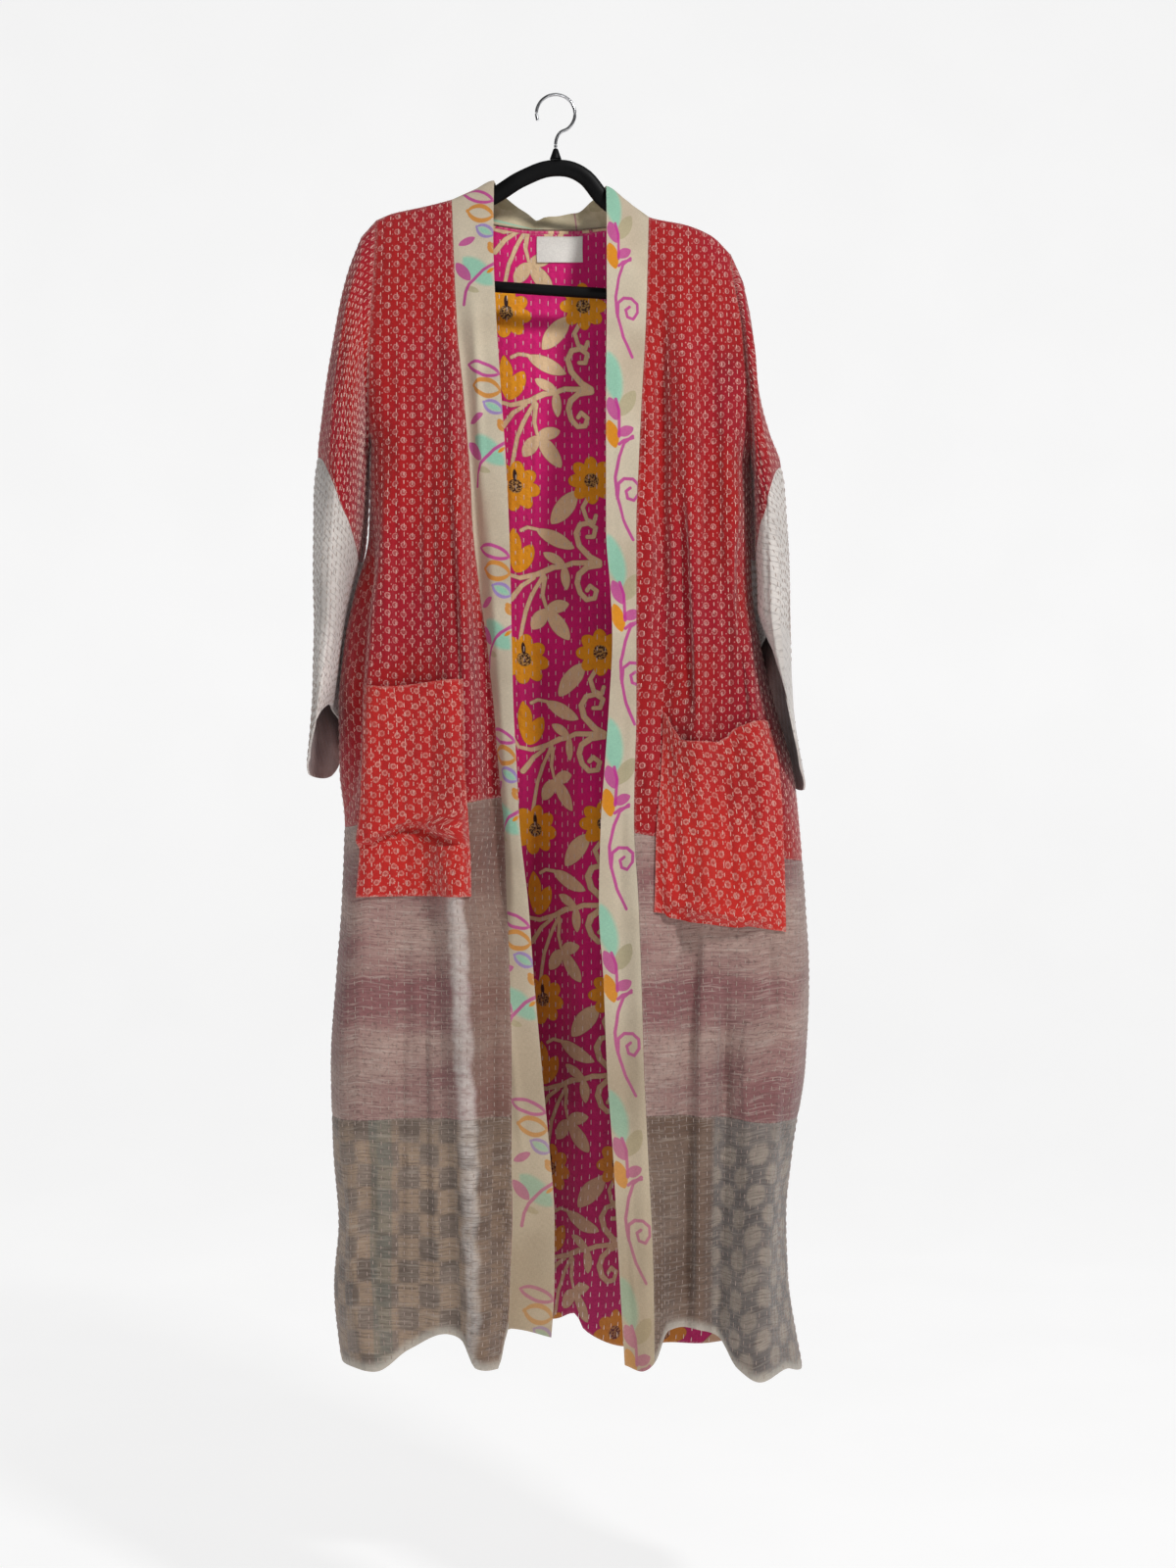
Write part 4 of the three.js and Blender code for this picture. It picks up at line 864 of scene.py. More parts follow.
class Cloth(Net):
    """A cloth material: colour, weave and quilting come from the cloth coordinates."""

    def __init__(self, name, sheen=0.25, rough=0.86):
        self.made = bpy.data.materials.new(name)
        self.made.use_nodes = True
        super().__init__(self.made.node_tree)
        self.shader = self.tree.nodes["Principled BSDF"]
        self.shader.inputs["Roughness"].default_value = rough
        self.shader.inputs["Sheen Weight"].default_value = sheen
        self.shader.inputs["Sheen Roughness"].default_value = 0.5
        self.shader.inputs["Specular IOR Level"].default_value = 0.25
        where = self.node("ShaderNodeUVMap", uv_map="Cloth").outputs[0]
        self.p = self.scaled(where, 1000.0)
        self.u, self.v = self.split(self.p)

    def share(self, name):
        return self.node("ShaderNodeAttribute", attribute_name=name).outputs["Fac"]

    def wavy(self, size=0.6, scale=0.06):
        """Cloth coordinates with the unevenness of a hand print."""
        made = self.node("ShaderNodeTexNoise")
        self.feed(made.inputs["Vector"], self.p)
        self.feed(made.inputs["Scale"], scale)
        shift = self.vec("SUBTRACT", made.outputs["Color"], (0.5, 0.5, 0.5))
        return self.vec("ADD", self.p, self.scaled(shift, 2 * size))

    def stretched(self, across, down):
        """Cloth coordinates for streaks: scales across and down the cloth."""
        return self.vec("MULTIPLY", self.p, (across, down, 0.0))

    def patches(self, first, second, scale=0.006):
        """Soft large patches of two colours."""
        return self.blend(self.ramp(self.noise(self.p, scale, 3.0), 0.35, 0.65), first, second)

    def inked(self, colour, shape, tint, soft=0.5, share=1.0):
        """The colour with a shape printed on it."""
        mask = self.inside(shape, soft)
        return self.blend(mask if share == 1 else self.times(mask, share), colour, tint)

    def slubbed(self, colour, dark, pale, share):
        """The colour with thin dark and pale streaks of uneven thread across it."""
        fine = self.noise(self.stretched(0.035, 0.5), 1.0, 3.0, 0.7)
        colour = self.blend(self.ramp(fine, 0.46, 0.68, 0.0, 0.6), colour, dark)
        streaks = self.noise(self.stretched(0.03, 0.36), 1.0, 3.0, 0.6)
        return self.blend(self.ramp(streaks, 0.5, 0.7, 0.0, share), colour, pale)

    def finish(self, colour, quilt=STITCH_APART, dash=STITCH_STEP, bump=0.35, worn=0.35, weave=0.12,
               slub=0.0):
        """Adds thread, wear at the edges, and bumps of weave and quilting."""
        u, v = self.u, self.v
        thread = self.noise(self.stretched(1.6, 0.25), 1.0, 2.0)
        weft = self.noise(self.stretched(0.25, 1.6), 1.0, 2.0)
        tone = self.plus(self.ramp(thread, 0.3, 0.7, 0.93, 1.05), self.ramp(weft, 0.3, 0.7, -0.05, 0.05))
        broad = self.ramp(self.noise(self.p, 0.011, 3.0), 0.3, 0.7, 0.92, 1.07)
        tone = self.times(tone, broad)
        colour = self.blend(1.0, colour, self.join(tone, tone, tone), "MULTIPLY")
        near_edge = self.ramp(self.share("edge"), 0.0, 0.004, 1.0, 0.0)
        pale = self.times(near_edge, self.ramp(self.noise(self.p, 0.35, 3.0), 0.35, 0.75, 0.0, worn))
        colour = self.blend(pale, colour, rgb(222, 205, 192))
        self.feed(self.shader.inputs["Base Color"], colour)
        weaving = self.times(self.wave(u, THREAD_PITCH), self.wave(v, THREAD_PITCH))
        tall = self.times(weaving, weave)
        if quilt:
            # the cloth sinks along each row of stitches and rises between them
            row = self.wave(u, quilt, "COSINE")
            pinch = self.math("SINE", self.math("MULTIPLY_ADD", v, 2 * math.pi / dash, 0.7))
            uneven = self.noise(self.stretched(0.16, 0.2), 1.0, 3.0, 0.6)
            puff = self.plus(self.times(row, -bump),
                             self.times(self.times(row, pinch), -0.5 * bump))
            tall = self.plus(tall, self.times(puff, self.ramp(uneven, 0.25, 0.75, 0.5, 1.5)))
            tall = self.plus(tall, self.times(uneven, 1.6))
        else:
            tall = self.plus(tall, self.times(self.noise(self.stretched(0.07, 0.12), 1.0, 4.0, 0.6), 1.4))
        if slub:
            tall = self.plus(tall, self.times(self.noise(self.stretched(0.05, 1.1), 1.0, 2.0), slub))
        self.relief(self.shader, 0.55, 0.001, tall)
        return self.made


def ring_print(c, p, pitch, big, small, eye, dot, aside, apart):
    """Scalloped rings on a centred square lattice: ring, eye and dot masks."""
    cell = pitch / math.sqrt(2)
    local = c.turned(c.repeat(c.turned(p, 45), cell, cell), -45)
    x, y = c.split(local)
    radius = c.length(local)
    turn = c.math("ARCTAN2", y, x)
    scallop = c.math("MULTIPLY_ADD", c.math("COSINE", c.times(turn, 9.0)), big * 0.07, big)
    ring = c.minus(c.inside(c.minus(radius, scallop)), c.inside(c.minus(radius, small)))
    centre = c.inside(c.minus(radius, eye))
    across = c.plus(x, aside)
    down = c.minus(c.size(y), apart)
    spot = c.inside(c.minus(c.vec("LENGTH", c.join(across, down)), dot), 0.25)
    return ring, centre, spot


def red_cloth(name, base, second, deep, ring_colour, eye_colour, pitch, big, small, eye, dot, tilt=0):
    c = Cloth(name)
    p = c.turned(c.wavy(0.7), tilt) if tilt else c.wavy(0.7)
    tone = c.ramp(c.noise(c.p, 0.0055, 3.0), 0.36, 0.64)
    colour = c.blend(tone, base, second)
    colour = c.blend(c.ramp(c.noise(c.stretched(0.03, 0.008), 1.0, 3.0), 0.5, 0.75, 0.0, 0.45), colour, deep)
    ring, centre, spot = ring_print(c, p, pitch, big, small, eye, dot, 5.3 * pitch / 19.6, 3.0 * pitch / 19.6)
    inked = c.times(c.ramp(c.noise(c.p, 0.55, 3.0), 0.3, 0.62, 0.3, 1.0),
                    c.ramp(c.noise(c.p, 0.035, 2.0), 0.35, 0.65, 0.6, 1.0))
    colour = c.blend(c.times(ring, inked), colour, ring_colour)
    colour = c.blend(c.times(centre, c.times(inked, 0.7)), colour, eye_colour)
    colour = c.blend(c.times(spot, inked), colour, ring_colour)
    return c.finish(colour)


RED = red_cloth("Red ring print", rgb(172, 13, 14), rgb(154, 10, 32), rgb(104, 4, 13), rgb(202, 140, 134),
                rgb(160, 104, 98), 19.6, 3.6, 2.2, 1.6, 0.85)
POCKET = red_cloth("Pocket print", rgb(202, 38, 30), rgb(184, 28, 28), rgb(142, 16, 20), rgb(216, 150, 138),
                   rgb(170, 110, 100), 17.5, 3.5, 1.7, 1.4, 0.9, 8)


def lining_cloth(name):
    """Magenta cloth with orange flowers, tan branches, leaves and scrolls, and white stitches."""
    c = Cloth(name, rough=0.84)
    p = c.vec("ADD", c.wavy(0.8, 0.05), (70.0, 0.0, 0.0))
    x, y = c.split(p)
    p = c.join(c.math("MULTIPLY_ADD", y, 0.05, x), y)   # the print runs a little askew
    wide, tall = 152.0, 200.0

    def around(at):
        """Coordinates about one place of the repeat."""
        return c.repeat(c.vec("SUBTRACT", p, (at[0], at[1] - 641.0, 0)), wide, tall)

    a, b = around((0, 0)), around((90, 8))
    branch = around((29, 95))
    scroll = around((82, 112))
    tan = [
        strokes(c, a, [(-3, 21), (1, 40), (5, 56), (14, 76)], 4.6, 5.2),
        leaves(c, a, [(22, -49, 66, -70, 17)]),
        strokes(c, a, [(4, -51), (12, -47), (24, -49)], 4.2),
        strokes(c, branch, [(-52, 20), (-43, 2), (-29, -1), (-8, 4), (10, 12)], 3.6, 7.0),
        strokes(c, branch, [(10, 12), (24, 14), (34, 18), (58, 18)], 6.0, 6.0),
        strokes(c, branch, [(-12, 0), (-27, -10), (-40, -26)], 4.4, 6.4),
        strokes(c, branch, [(-1, 3), (-12, -14), (-16, -22)], 5.0, 4.8),
        strokes(c, branch, [(0, 0), (-3, -20), (0, -34)], 6.0, 4.0),
        leaves(c, branch, [(0, -36, 27, -30, 15), (1, -36, -18, -60, 17), (1, -36, 26, -72, 18),
                           (25, 16, 0, 29, 12), (24, 16, 25, -14, 11)]),
        strokes(c, scroll, [(12, 1), (2, 7), (-10, 21), (-13, 35), (-8, 45), (2, 47), (10, 41), (7, 31),
                            (0, 31)], 7.5, 5.0),
        strokes(c, scroll, [(12, -2), (-2, -4), (-12, -12), (-15, -22), (-12, -34), (-5, -42), (4, -41),
                            (7, -32), (0, -26), (-4, -31)], 7.5, 5.0),
        strokes(c, b, [(-4, -18), (-12, -31), (-8, -45), (0, -49), (3, -41)], 5.2, 5.0),
        strokes(c, b, [(-6, -10), (-18, -12)], 5.0),
        leaves(c, b, [(-17, -12, -50, -50, 21)])]
    tan = c.least(tan)

    def flower(q, reach, turn):
        q = c.turned(q, turn)
        fx, fy = c.split(q)
        radius = c.length(q)
        part = 2 * math.pi / 8
        angle = c.math("WRAP", c.math("ARCTAN2", fy, fx), part / 2, -part / 2)
        px = c.minus(c.times(radius, c.math("COSINE", angle)), reach * 0.6)
        py = c.times(c.times(radius, c.math("SINE", angle)), 1.42)
        return c.minus(c.vec("LENGTH", c.join(px, py)), reach * 0.42), radius

    flower_a, middle_a = flower(a, 29, 10)
    flower_b, middle_b = flower(b, 27, 0)
    bud = around((0, 125))
    buds = leaves(c, bud, [(-4, -25, -5, 26, 16), (-3, -25, 17, 8, 19), (-5, 24, 2, 0, 10)])
    orange = c.least([flower_a, flower_b, buds])
    middle = c.math("MINIMUM", middle_a, middle_b)

    colour = c.patches(rgb(224, 24, 120), rgb(204, 26, 108))
    sand = c.blend(c.noise(c.p, 0.05, 3.0), rgb(236, 208, 164), rgb(222, 186, 146))
    saffron = c.blend(c.noise(c.p, 0.07, 3.0), rgb(246, 172, 30), rgb(234, 146, 24))
    colour = c.inked(c.inked(colour, tan, sand), orange, saffron)
    colour = c.inked(colour, c.rim(c.math("MINIMUM", tan, orange), 0.3), rgb(90, 50, 40), 0.3, 0.55)
    marks = c.ramp(c.noise(c.p, 0.42, 2.0), 0.46, 0.54)
    heart = c.blend(marks, rgb(58, 34, 30), rgb(196, 150, 84))
    colour = c.inked(colour, c.minus(middle, 8.2), heart)
    colour = c.inked(colour, leaves(c, a, [(0, 5, 0, 20, 5)]), rgb(52, 32, 30), 0.4)
    # painted shade: the lining darkens towards the bottom, where the inside of the robe gets little light
    painted_shade_low = c.ramp(c.v, -1350.0, -800.0, 0.5, 0.0)
    colour = c.blend(painted_shade_low, colour, rgb(110, 40, 60))
    return c.finish(colour, dash=LINING_STEP, bump=0.45)


def band_cloth(name, side):
    """Cream cloth with a magenta vine, spirals, loops and leaves. Up the band is +y, from v = 0."""
    c = Cloth(name, sheen=0.15, rough=0.82)
    base = c.patches(rgb(208, 195, 172), rgb(190, 173, 150))
    wide, tall = 800.0, 206.0
    p = c.wavy(0.7, 0.05)
    pink = rgb(188, 46, 140)

    def around(y):
        return c.repeat(c.vec("SUBTRACT", p, (0, -y, 0)), wide, tall)

    if side == "right":
        q, r = around(200 + 58), around(200 + 180)
        vine = c.least([
            strokes(c, q, [(31, 58), (21, 50), (15, 34), (10.5, 11), (12, -8), (20, -36), (31, -58)], 3.7),
            strokes(c, q, [(13, -13), (14, 4), (21, 10), (31, 10), (38, 4), (38, -6)], 3.7),
            strokes(c, q, [(38, -6), (32, -14), (25, -12), (23, -4), (28, 0)], 3.5),
            strokes(c, r, [(11, 15), (15, 2), (15, -27)], 3.6),
            strokes(c, r, [(31, -28), (21, -31), (15, -36)], 3.6)])
        magenta = leaves(c, r, [(3, 17, 13, -9, 14), (13, -25, 32, -16, 12)])
        orange = leaves(c, r, [(3, -9, 11, -40, 15)])
        olive = leaves(c, r, [(15, -4, 34, 26, 17)])
        mint = leaves(c, around(200 + 141), [(2, 30, 14, -28, 22)])
        lines = []
    else:
        # x runs from the opening edge, below zero, towards the seam
        q, r = around(356), around(356 - 130)
        magenta_loop = leaves(c, q, [(-1, 19, -38, 31, 13)])
        orange_loops = leaves(c, q, [(-1, 0, -32, 7, 18), (2, -45, -4, -35, 6)])
        lilac_loop = leaves(c, q, [(0, -24, -20, -13, 13)])
        lines = [(lilac_loop, 1.9, 0.85, rgb(150, 120, 190)), (orange_loops, 2.7, 0.9, rgb(206, 132, 34)),
                 (magenta_loop, 2.0, 0.9, pink)]
        vine = strokes(c, r, [(2, 18), (-12, 10), (-29, -6), (-34, -16), (-37, -30)], 3.8)
        magenta = c.least([leaves(c, q, [(-42, -35, -22, -26, 9)]), leaves(c, r, [(-45, 20, -28, -2, 13)])])
        orange = leaves(c, q, [(0, -64, -8, -70, 4)])
        olive = leaves(c, q, [(-18, -92, -34, -86, 7)])
        mint = c.least([leaves(c, q, [(-36, -50, -2, -84, 24)]), c.plus(lilac_loop, 2.0)])
    colour = c.inked(base, mint, rgb(124, 200, 174), 3.5, 0.75)
    colour = c.inked(colour, olive, rgb(168, 158, 122), 0.8, 0.7)
    colour = c.inked(colour, orange, rgb(216, 138, 26))
    colour = c.inked(c.inked(colour, magenta, pink, share=0.85), vine, pink, share=0.9)
    for loop, half, share, tint in lines:
        colour = c.inked(colour, c.rim(loop, half), tint, share=share)
    low = c.ramp(c.share("low"), 0.0, 0.6, 0.55, 0.0)
    colour = c.blend(low, colour, rgb(168, 142, 110))
    return c.finish(colour, quilt=0, worn=0.2)


def neck_cloth(name):
    """Olive-beige cloth of the neck band, with its seam, a mint line and faint leaves."""
    c = Cloth(name, sheen=0.15, rough=0.82)
    olive = leaves(c, c.wavy(0.7, 0.05), [(60, -118, 92, -104, 22), (-50, -122, -90, -108, 20),
                                          (30, -112, 12, -128, 10)])
    colour = c.patches(rgb(208, 194, 164), rgb(178, 164, 132), 0.03)
    colour = c.inked(colour, olive, rgb(148, 138, 102), 1.0, 0.5)
    low = c.share("low")
    mint = c.times(c.ramp(c.u, 14.0, 20.0), c.ramp(c.size(c.minus(low, 0.006)), 0.001, 0.002, 0.7, 0.0))
    colour = c.blend(mint, colour, rgb(142, 206, 180))
    colour = c.inked(colour, c.rim(c.plus(c.u, 24.0), 1.0), rgb(150, 60, 104), 0.6, 0.7)
    colour = c.blend(c.ramp(low, 0.0008, 0.002, 0.7, 0.0), colour, rgb(74, 52, 44))
    return c.finish(colour, quilt=0, worn=0.2)


def painted_ridge_highlight(c, colour):
    """Painted highlight down a ridge of the left front beside its band, pale along the crest, with painted
    shade in brown between it and the band.
    """
    u = c.plus(c.u, c.ramp(c.noise(c.stretched(0.01, 0.03), 1.0, 2.0), 0.3, 0.7, -3.0, 3.0))
    middle = c.math("MULTIPLY_ADD", c.v, -0.055, 1.0)   # it leans towards the band on its way down
    away = c.size(c.minus(u, middle))
    uneven = c.ramp(c.noise(c.stretched(0.05, 0.12), 1.0, 4.0, 0.7), 0.35, 0.65, 0.4, 0.85)
    # painted shade: brown on the ridge's flank towards the band, which faces away from the light
    beside = c.times(c.ramp(c.minus(u, middle), 10.0, 15.0), 0.55)
    colour = c.blend(beside, colour, rgb(116, 88, 70))
    # painted highlight: a pale, uneven sheen along the ridge's crest
    return c.blend(c.times(c.ramp(away, 5.0, 17.0, 1.0, 0.0), uneven), colour, rgb(208, 198, 192))


def mauve_cloth(name, stripe=False):
    """Faded mauve cloth with slubs across it."""
    c = Cloth(name)
    band = c.noise(c.stretched(0.004, 0.014), 1.0, 3.0)
    colour = c.blend(c.ramp(band, 0.36, 0.64), rgb(140, 94, 94), rgb(176, 148, 138))
    colour = c.slubbed(colour, rgb(112, 74, 74), rgb(200, 182, 172), 0.5)
    # small faded tufts of the old pattern
    tuft = c.noise(c.stretched(0.16, 0.22), 1.0, 2.0, 0.7)
    colour = c.blend(c.ramp(tuft, 0.54, 0.68, 0.0, 0.5), colour, rgb(104, 82, 76))
    if stripe:
        # painted highlight along the ridge of the left front, with painted shade beside it
        colour = painted_ridge_highlight(c, colour)
    return c.finish(colour, slub=0.7)


def taupe_cloth(name, kind):
    c = Cloth(name)
    p = c.wavy(3.0, 0.04)
    ground = c.noise(c.stretched(0.006, 0.02), 1.0, 3.0)
    base = c.blend(c.ramp(ground, 0.35, 0.65), rgb(112, 98, 88), rgb(142, 126, 114))
    if kind != "dots":
        u, v = c.split(p)
        share = c.ramp(c.times(c.wave(u, 52.0), c.wave(v, 52.0)), -0.22, 0.22)
        fade = c.ramp(c.v, -1210.0, -1150.0, 0.75, 0.0)
        colour = c.blend(c.times(share, fade), base, rgb(168, 144, 122))
        if kind == "stripe":
            # painted highlight along the ridge of the left front, with painted shade beside it
            colour = painted_ridge_highlight(c, colour)
            grey = c.ramp(c.size(c.plus(c.u, 48.0)), 11.0, 15.0, 1.0, 0.0)
            colour = c.blend(c.times(grey, 0.5), colour, rgb(112, 118, 108))
    else:
        cell = 45.0
        near = c.least([c.length(c.repeat(c.vec("ADD", p, (shift, shift, 0)), cell, cell))
                        for shift in (0.0, cell / 2)])
        outer = c.ramp(c.u, 16.0, 26.0)
        fade = c.times(c.ramp(c.v, -1230.0, -1160.0, 0.75, 0.1), outer)
        base = c.blend(outer, c.blend(c.ramp(ground, 0.35, 0.65), rgb(112, 88, 74), rgb(132, 110, 96)), base)
        base = c.blend(c.times(outer, 0.4), base, rgb(116, 118, 122))
        colour = c.blend(c.times(c.ramp(near, 8.5, 14.5, 1.0, 0.0), fade), base, rgb(170, 156, 142))
    colour = c.slubbed(colour, rgb(86, 72, 66), rgb(182, 170, 158), 0.4)
    hem = c.ramp(c.share("low"), 0.002, 0.014, 0.75, 0.0)
    colour = c.blend(hem, colour, rgb(198, 190, 178))
    return c.finish(colour, slub=0.7)


def cuff_cloth(name):
    """Silver-grey cloth with tone-on-tone lines."""
    c = Cloth(name, sheen=0.35, rough=0.7)
    base = c.patches(rgb(226, 218, 212), rgb(208, 200, 194), 0.01)
    u, v = c.split(c.turned(c.wavy(1.5, 0.05), 24))
    course = 6.8   # height of a row of the pattern
    rows = c.math("WRAP", v, course / 2, -course / 2)
    step = c.math("SIGN", c.wave(v, 2 * course))
    bars = c.math("WRAP", c.math("MULTIPLY_ADD", step, 6.0, u), 12.0, -12.0)
    line = c.least([c.rim(rows, 0.7), c.rim(bars, 0.8)])
    fade = c.ramp(c.noise(c.p, 0.08, 2.0), 0.35, 0.65, 0.15, 0.7)
    return c.finish(c.inked(base, line, rgb(160, 150, 146), share=fade), bump=0.25, worn=0.2)


def plain_cloth(name, first, second):
    c = Cloth(name, rough=0.85)
    return c.finish(c.patches(first, second, 0.03))


def label_cloth(name):
    """Woven satin tape, its ends folded under, with nothing on it."""
    c = Cloth(name, sheen=0.1, rough=0.55)
    ribs = c.wave(c.v, 0.5)
    colour = c.blend(c.ramp(ribs, -1.0, 1.0, 0.0, 0.12), rgb(238, 235, 228), rgb(214, 208, 198))
    fold = c.ramp(c.share("edge"), 0.0, 0.002, 0.35, 0.0)
    colour = c.blend(fold, colour, rgb(190, 180, 170))
    return c.finish(colour, quilt=0, worn=0.0)


def object_net(name, metal=0.0):
    """A material with its net, its shader and its object's coordinates in mm."""
    made = bpy.data.materials.new(name)
    made.use_nodes = True
    net = Net(made.node_tree)
    shader = net.tree.nodes["Principled BSDF"]
    shader.inputs["Metallic"].default_value = metal
    where = net.scaled(net.node("ShaderNodeTexCoord").outputs["Object"], 1000.0)
    return made, net, shader, where


def plastic(name):
    """Black moulded plastic with a faint satin grain and scuffs."""
    made, net, shader, where = object_net(name)
    patch = net.noise(where, 0.02, 3.0)
    grain = net.noise(where, 2.2, 2.0)
    colour = net.blend(net.ramp(patch, 0.35, 0.65), rgb(6, 6, 7), rgb(12, 12, 13))
    net.feed(shader.inputs["Base Color"], colour)
    shader.inputs["Specular IOR Level"].default_value = 0.12
    rough = net.plus(net.ramp(patch, 0.3, 0.7, 0.4, 0.52), net.ramp(grain, 0.3, 0.7, 0.0, 0.08))
    net.feed(shader.inputs["Roughness"], rough)
    net.relief(shader, 0.15, 0.0002, grain)
    return made


def steel(name):
    """Chromed wire with drawing lines and light wear."""
    made, net, shader, where = object_net(name, metal=1.0)
    scratch = net.noise(net.vec("MULTIPLY", where, (0.4, 3.0, 0.4)), 1.0, 4.0)
    colour = net.blend(net.ramp(scratch, 0.4, 0.7), rgb(206, 207, 210), rgb(168, 168, 170))
    net.feed(shader.inputs["Base Color"], colour)
    net.feed(shader.inputs["Roughness"], net.ramp(scratch, 0.3, 0.7, 0.14, 0.34))
    net.relief(shader, 0.1, 0.0001, scratch)
    return made


def thread(name, first, second):
    """Cotton sewing thread, with its twist."""
    made, net, shader, where = object_net(name)
    shade = net.noise(where, 0.05, 3.0)
    twist = net.noise(net.vec("MULTIPLY", where, (2.0, 2.0, 1.2)), 1.0, 2.0)
    colour = net.blend(net.ramp(shade, 0.35, 0.65), first, second)
    colour = net.blend(net.ramp(twist, 0.4, 0.7, 0.0, 0.25), colour, rgb(150, 120, 110))
    net.feed(shader.inputs["Base Color"], colour)
    net.feed(shader.inputs["Roughness"], net.ramp(twist, 0.3, 0.7, 0.7, 0.9))
    net.relief(shader, 0.4, 0.0002, twist)
    return made


LINING = lining_cloth("Lining print")
BAND_LEFT = band_cloth("Left band print", "left")
BAND_RIGHT = band_cloth("Right band print", "right")
NECK = neck_cloth("Neck band print")
MAUVE = mauve_cloth("Faded mauve")
# mauve of the left front, with the ridge's highlight and shade painted on
MAUVE_PAINTED_HIGHLIGHT = mauve_cloth("Faded mauve with a pale stripe", stripe=True)
CHECKS = taupe_cloth("Taupe checks", "checks")
# taupe checks of the left front, with the ridge's highlight and shade painted on
CHECKS_PAINTED_HIGHLIGHT = taupe_cloth("Taupe checks with a pale stripe", "stripe")
DOTS = taupe_cloth("Taupe dots", "dots")
CUFF = cuff_cloth("Cuff lines")
SLEEVE_LINING = plain_cloth("Sleeve lining", rgb(136, 108, 102), rgb(112, 84, 82))
LABEL_TAPE = label_cloth("Label tape")
BLACK = plastic("Black plastic")
CHROME = steel("Hook steel")
PINK_THREAD = thread("Pale thread", rgb(236, 196, 184), rgb(224, 176, 166))
WHITE_THREAD = thread("White thread", rgb(238, 224, 214), rgb(226, 206, 198))
GREY_THREAD = thread("Grey thread", rgb(178, 160, 150), rgb(160, 142, 134))


# ---------------------------------------------------------------- robe
stitch_jobs = []
TIERS = [("upper", 0, UPPER_ROW, "bottom"), ("middle", UPPER_ROW, LOWER_ROW, "top bottom"),
         ("lower", LOWER_ROW, HEM_ROW, "top")]
PANEL_LAST = TURN_COLUMNS + FRONT_COLUMNS
BAND_LAST = PANEL_LAST + BAND_COLUMNS
TIER_SLOT = {"upper": "cotton_red", "middle": "cotton_mauve", "lower": "cotton_taupe"}
CLOTHS = {"front_left": {"upper": RED, "middle": MAUVE_PAINTED_HIGHLIGHT, "lower": CHECKS_PAINTED_HIGHLIGHT},
          "front_right": {"upper": RED, "middle": MAUVE, "lower": DOTS},
          "back": {"upper": RED, "middle": MAUVE, "lower": CHECKS}}

fronts = {side: front_sheet(side) for side in ("left", "right")}
back = back_sheet()


def declare(thing, node):
    """Says what the object rides on and which node it stands in for."""
    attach(thing, "root")
    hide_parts(node)


def add_piece(node, piece, thick, slots, slot, stitched=None, step=STITCH_STEP):
    """The piece as a wall of cloth, with running stitches in a thread where one is given."""
    declare(wall(node + "_look", piece, thick, slots), node)
    if stitched:
        stitch_jobs.append((node, piece, step, stitched, slot))


def add_tiers(panel, whole, last_column, side_seam=""):
    """The three cloths of a front or of the back, drawn in at their seams."""
    for tier, first, last, seams in TIERS:
        piece = pulled(whole.part(first, last, 0, last_column), seams + side_seam)
        add_piece(f"{panel}_{tier}", piece, CLOTH, [CLOTHS[panel][tier], LINING], TIER_SLOT[tier],
                  PINK_THREAD if tier == "upper" else GREY_THREAD)


def add_front(side):
    whole, left = fronts[side], side == "left"
    add_tiers(f"front_{side}", whole, PANEL_LAST, " end" if left else " start")
    band = pulled(whole.part(0, HEM_ROW, PANEL_LAST, BAND_LAST), "start" if left else "end")
    # across the band from its opening edge, so the print follows that edge
    band.u = band.u - (band.u[:, -1:] if left else band.u[:, :1])
    cloths = [BAND_LEFT if left else BAND_RIGHT, LINING]
    add_piece(f"band_{side}", band, BAND_CLOTH, cloths, "cotton_band")


def add_back():
    add_tiers("back", back, BACK_LAST)
    inside = back.moved(-(CLOTH + SEAM_GAP))
    lining = inside.part(LINING_TOP, HEM_ROW, TURN_COLUMNS - 1, BACK_LAST - TURN_COLUMNS + 1)
    lining.n = -lining.n
    # seen from inside: the wall is laid back from its face, towards the back panels
    lining.p = lining.p[:, ::-1] + lining.n[:, ::-1] * LINING_CLOTH
    lining.n, lining.u, lining.v = lining.n[:, ::-1], -lining.u[:, ::-1], lining.v[:, ::-1]
    add_piece("back_lining", lining, LINING_CLOTH, [LINING], "cotton_lining", WHITE_THREAD, LINING_STEP)


def add_neck():
    """Neck band between the two front bands, leaning out over the back."""
    spans = [np.linspace(a, b, 7) for a, b in zip(NECK_COLUMNS, NECK_COLUMNS[1:])]
    places = np.unique(np.concatenate(spans))[::-1]
    x = mix(NECK_LEFT, NECK_RIGHT, places)
    sewn = np.stack([x, read(NECKLINE, "x", x, "y"), read(NECKLINE, "x", x, "z")], -1)
    free = np.stack([read(NECK_EDGE, "share", places, k) for k in "xyz"], -1)
    # the free edge sinks beside the hanger's neck
    free[:, 2] -= 8 * np.exp(-((free[:, 0] + 24) / 9) ** 2) + 3 * np.exp(-((free[:, 0] - 30) / 10) ** 2)
    sewn = sewn + unit(free - sewn) * NECK_SEAM
    down = np.linspace(0, 1, 17)[:, None]
    p = mix(free[None], sewn[None], down[..., None])
    n = normals_of(p)
    n[:, 0] = n[:, -1] = (0, 0, 1)
    soft = np.sin(np.pi * places) ** 0.5
    rolled = 2.2 * np.sin(np.pi * down) + seam_dip((1 - down) * BAND_WIDE, 4)
    out = (rolled + crumple(p[..., 0], p[..., 1] * 2, 0.35)) * soft
    band = Sheet(p + n * out[..., None], n, grain=0)
    add_piece("band_neck", band, BAND_CLOTH, [NECK, NECK], "cotton_band")


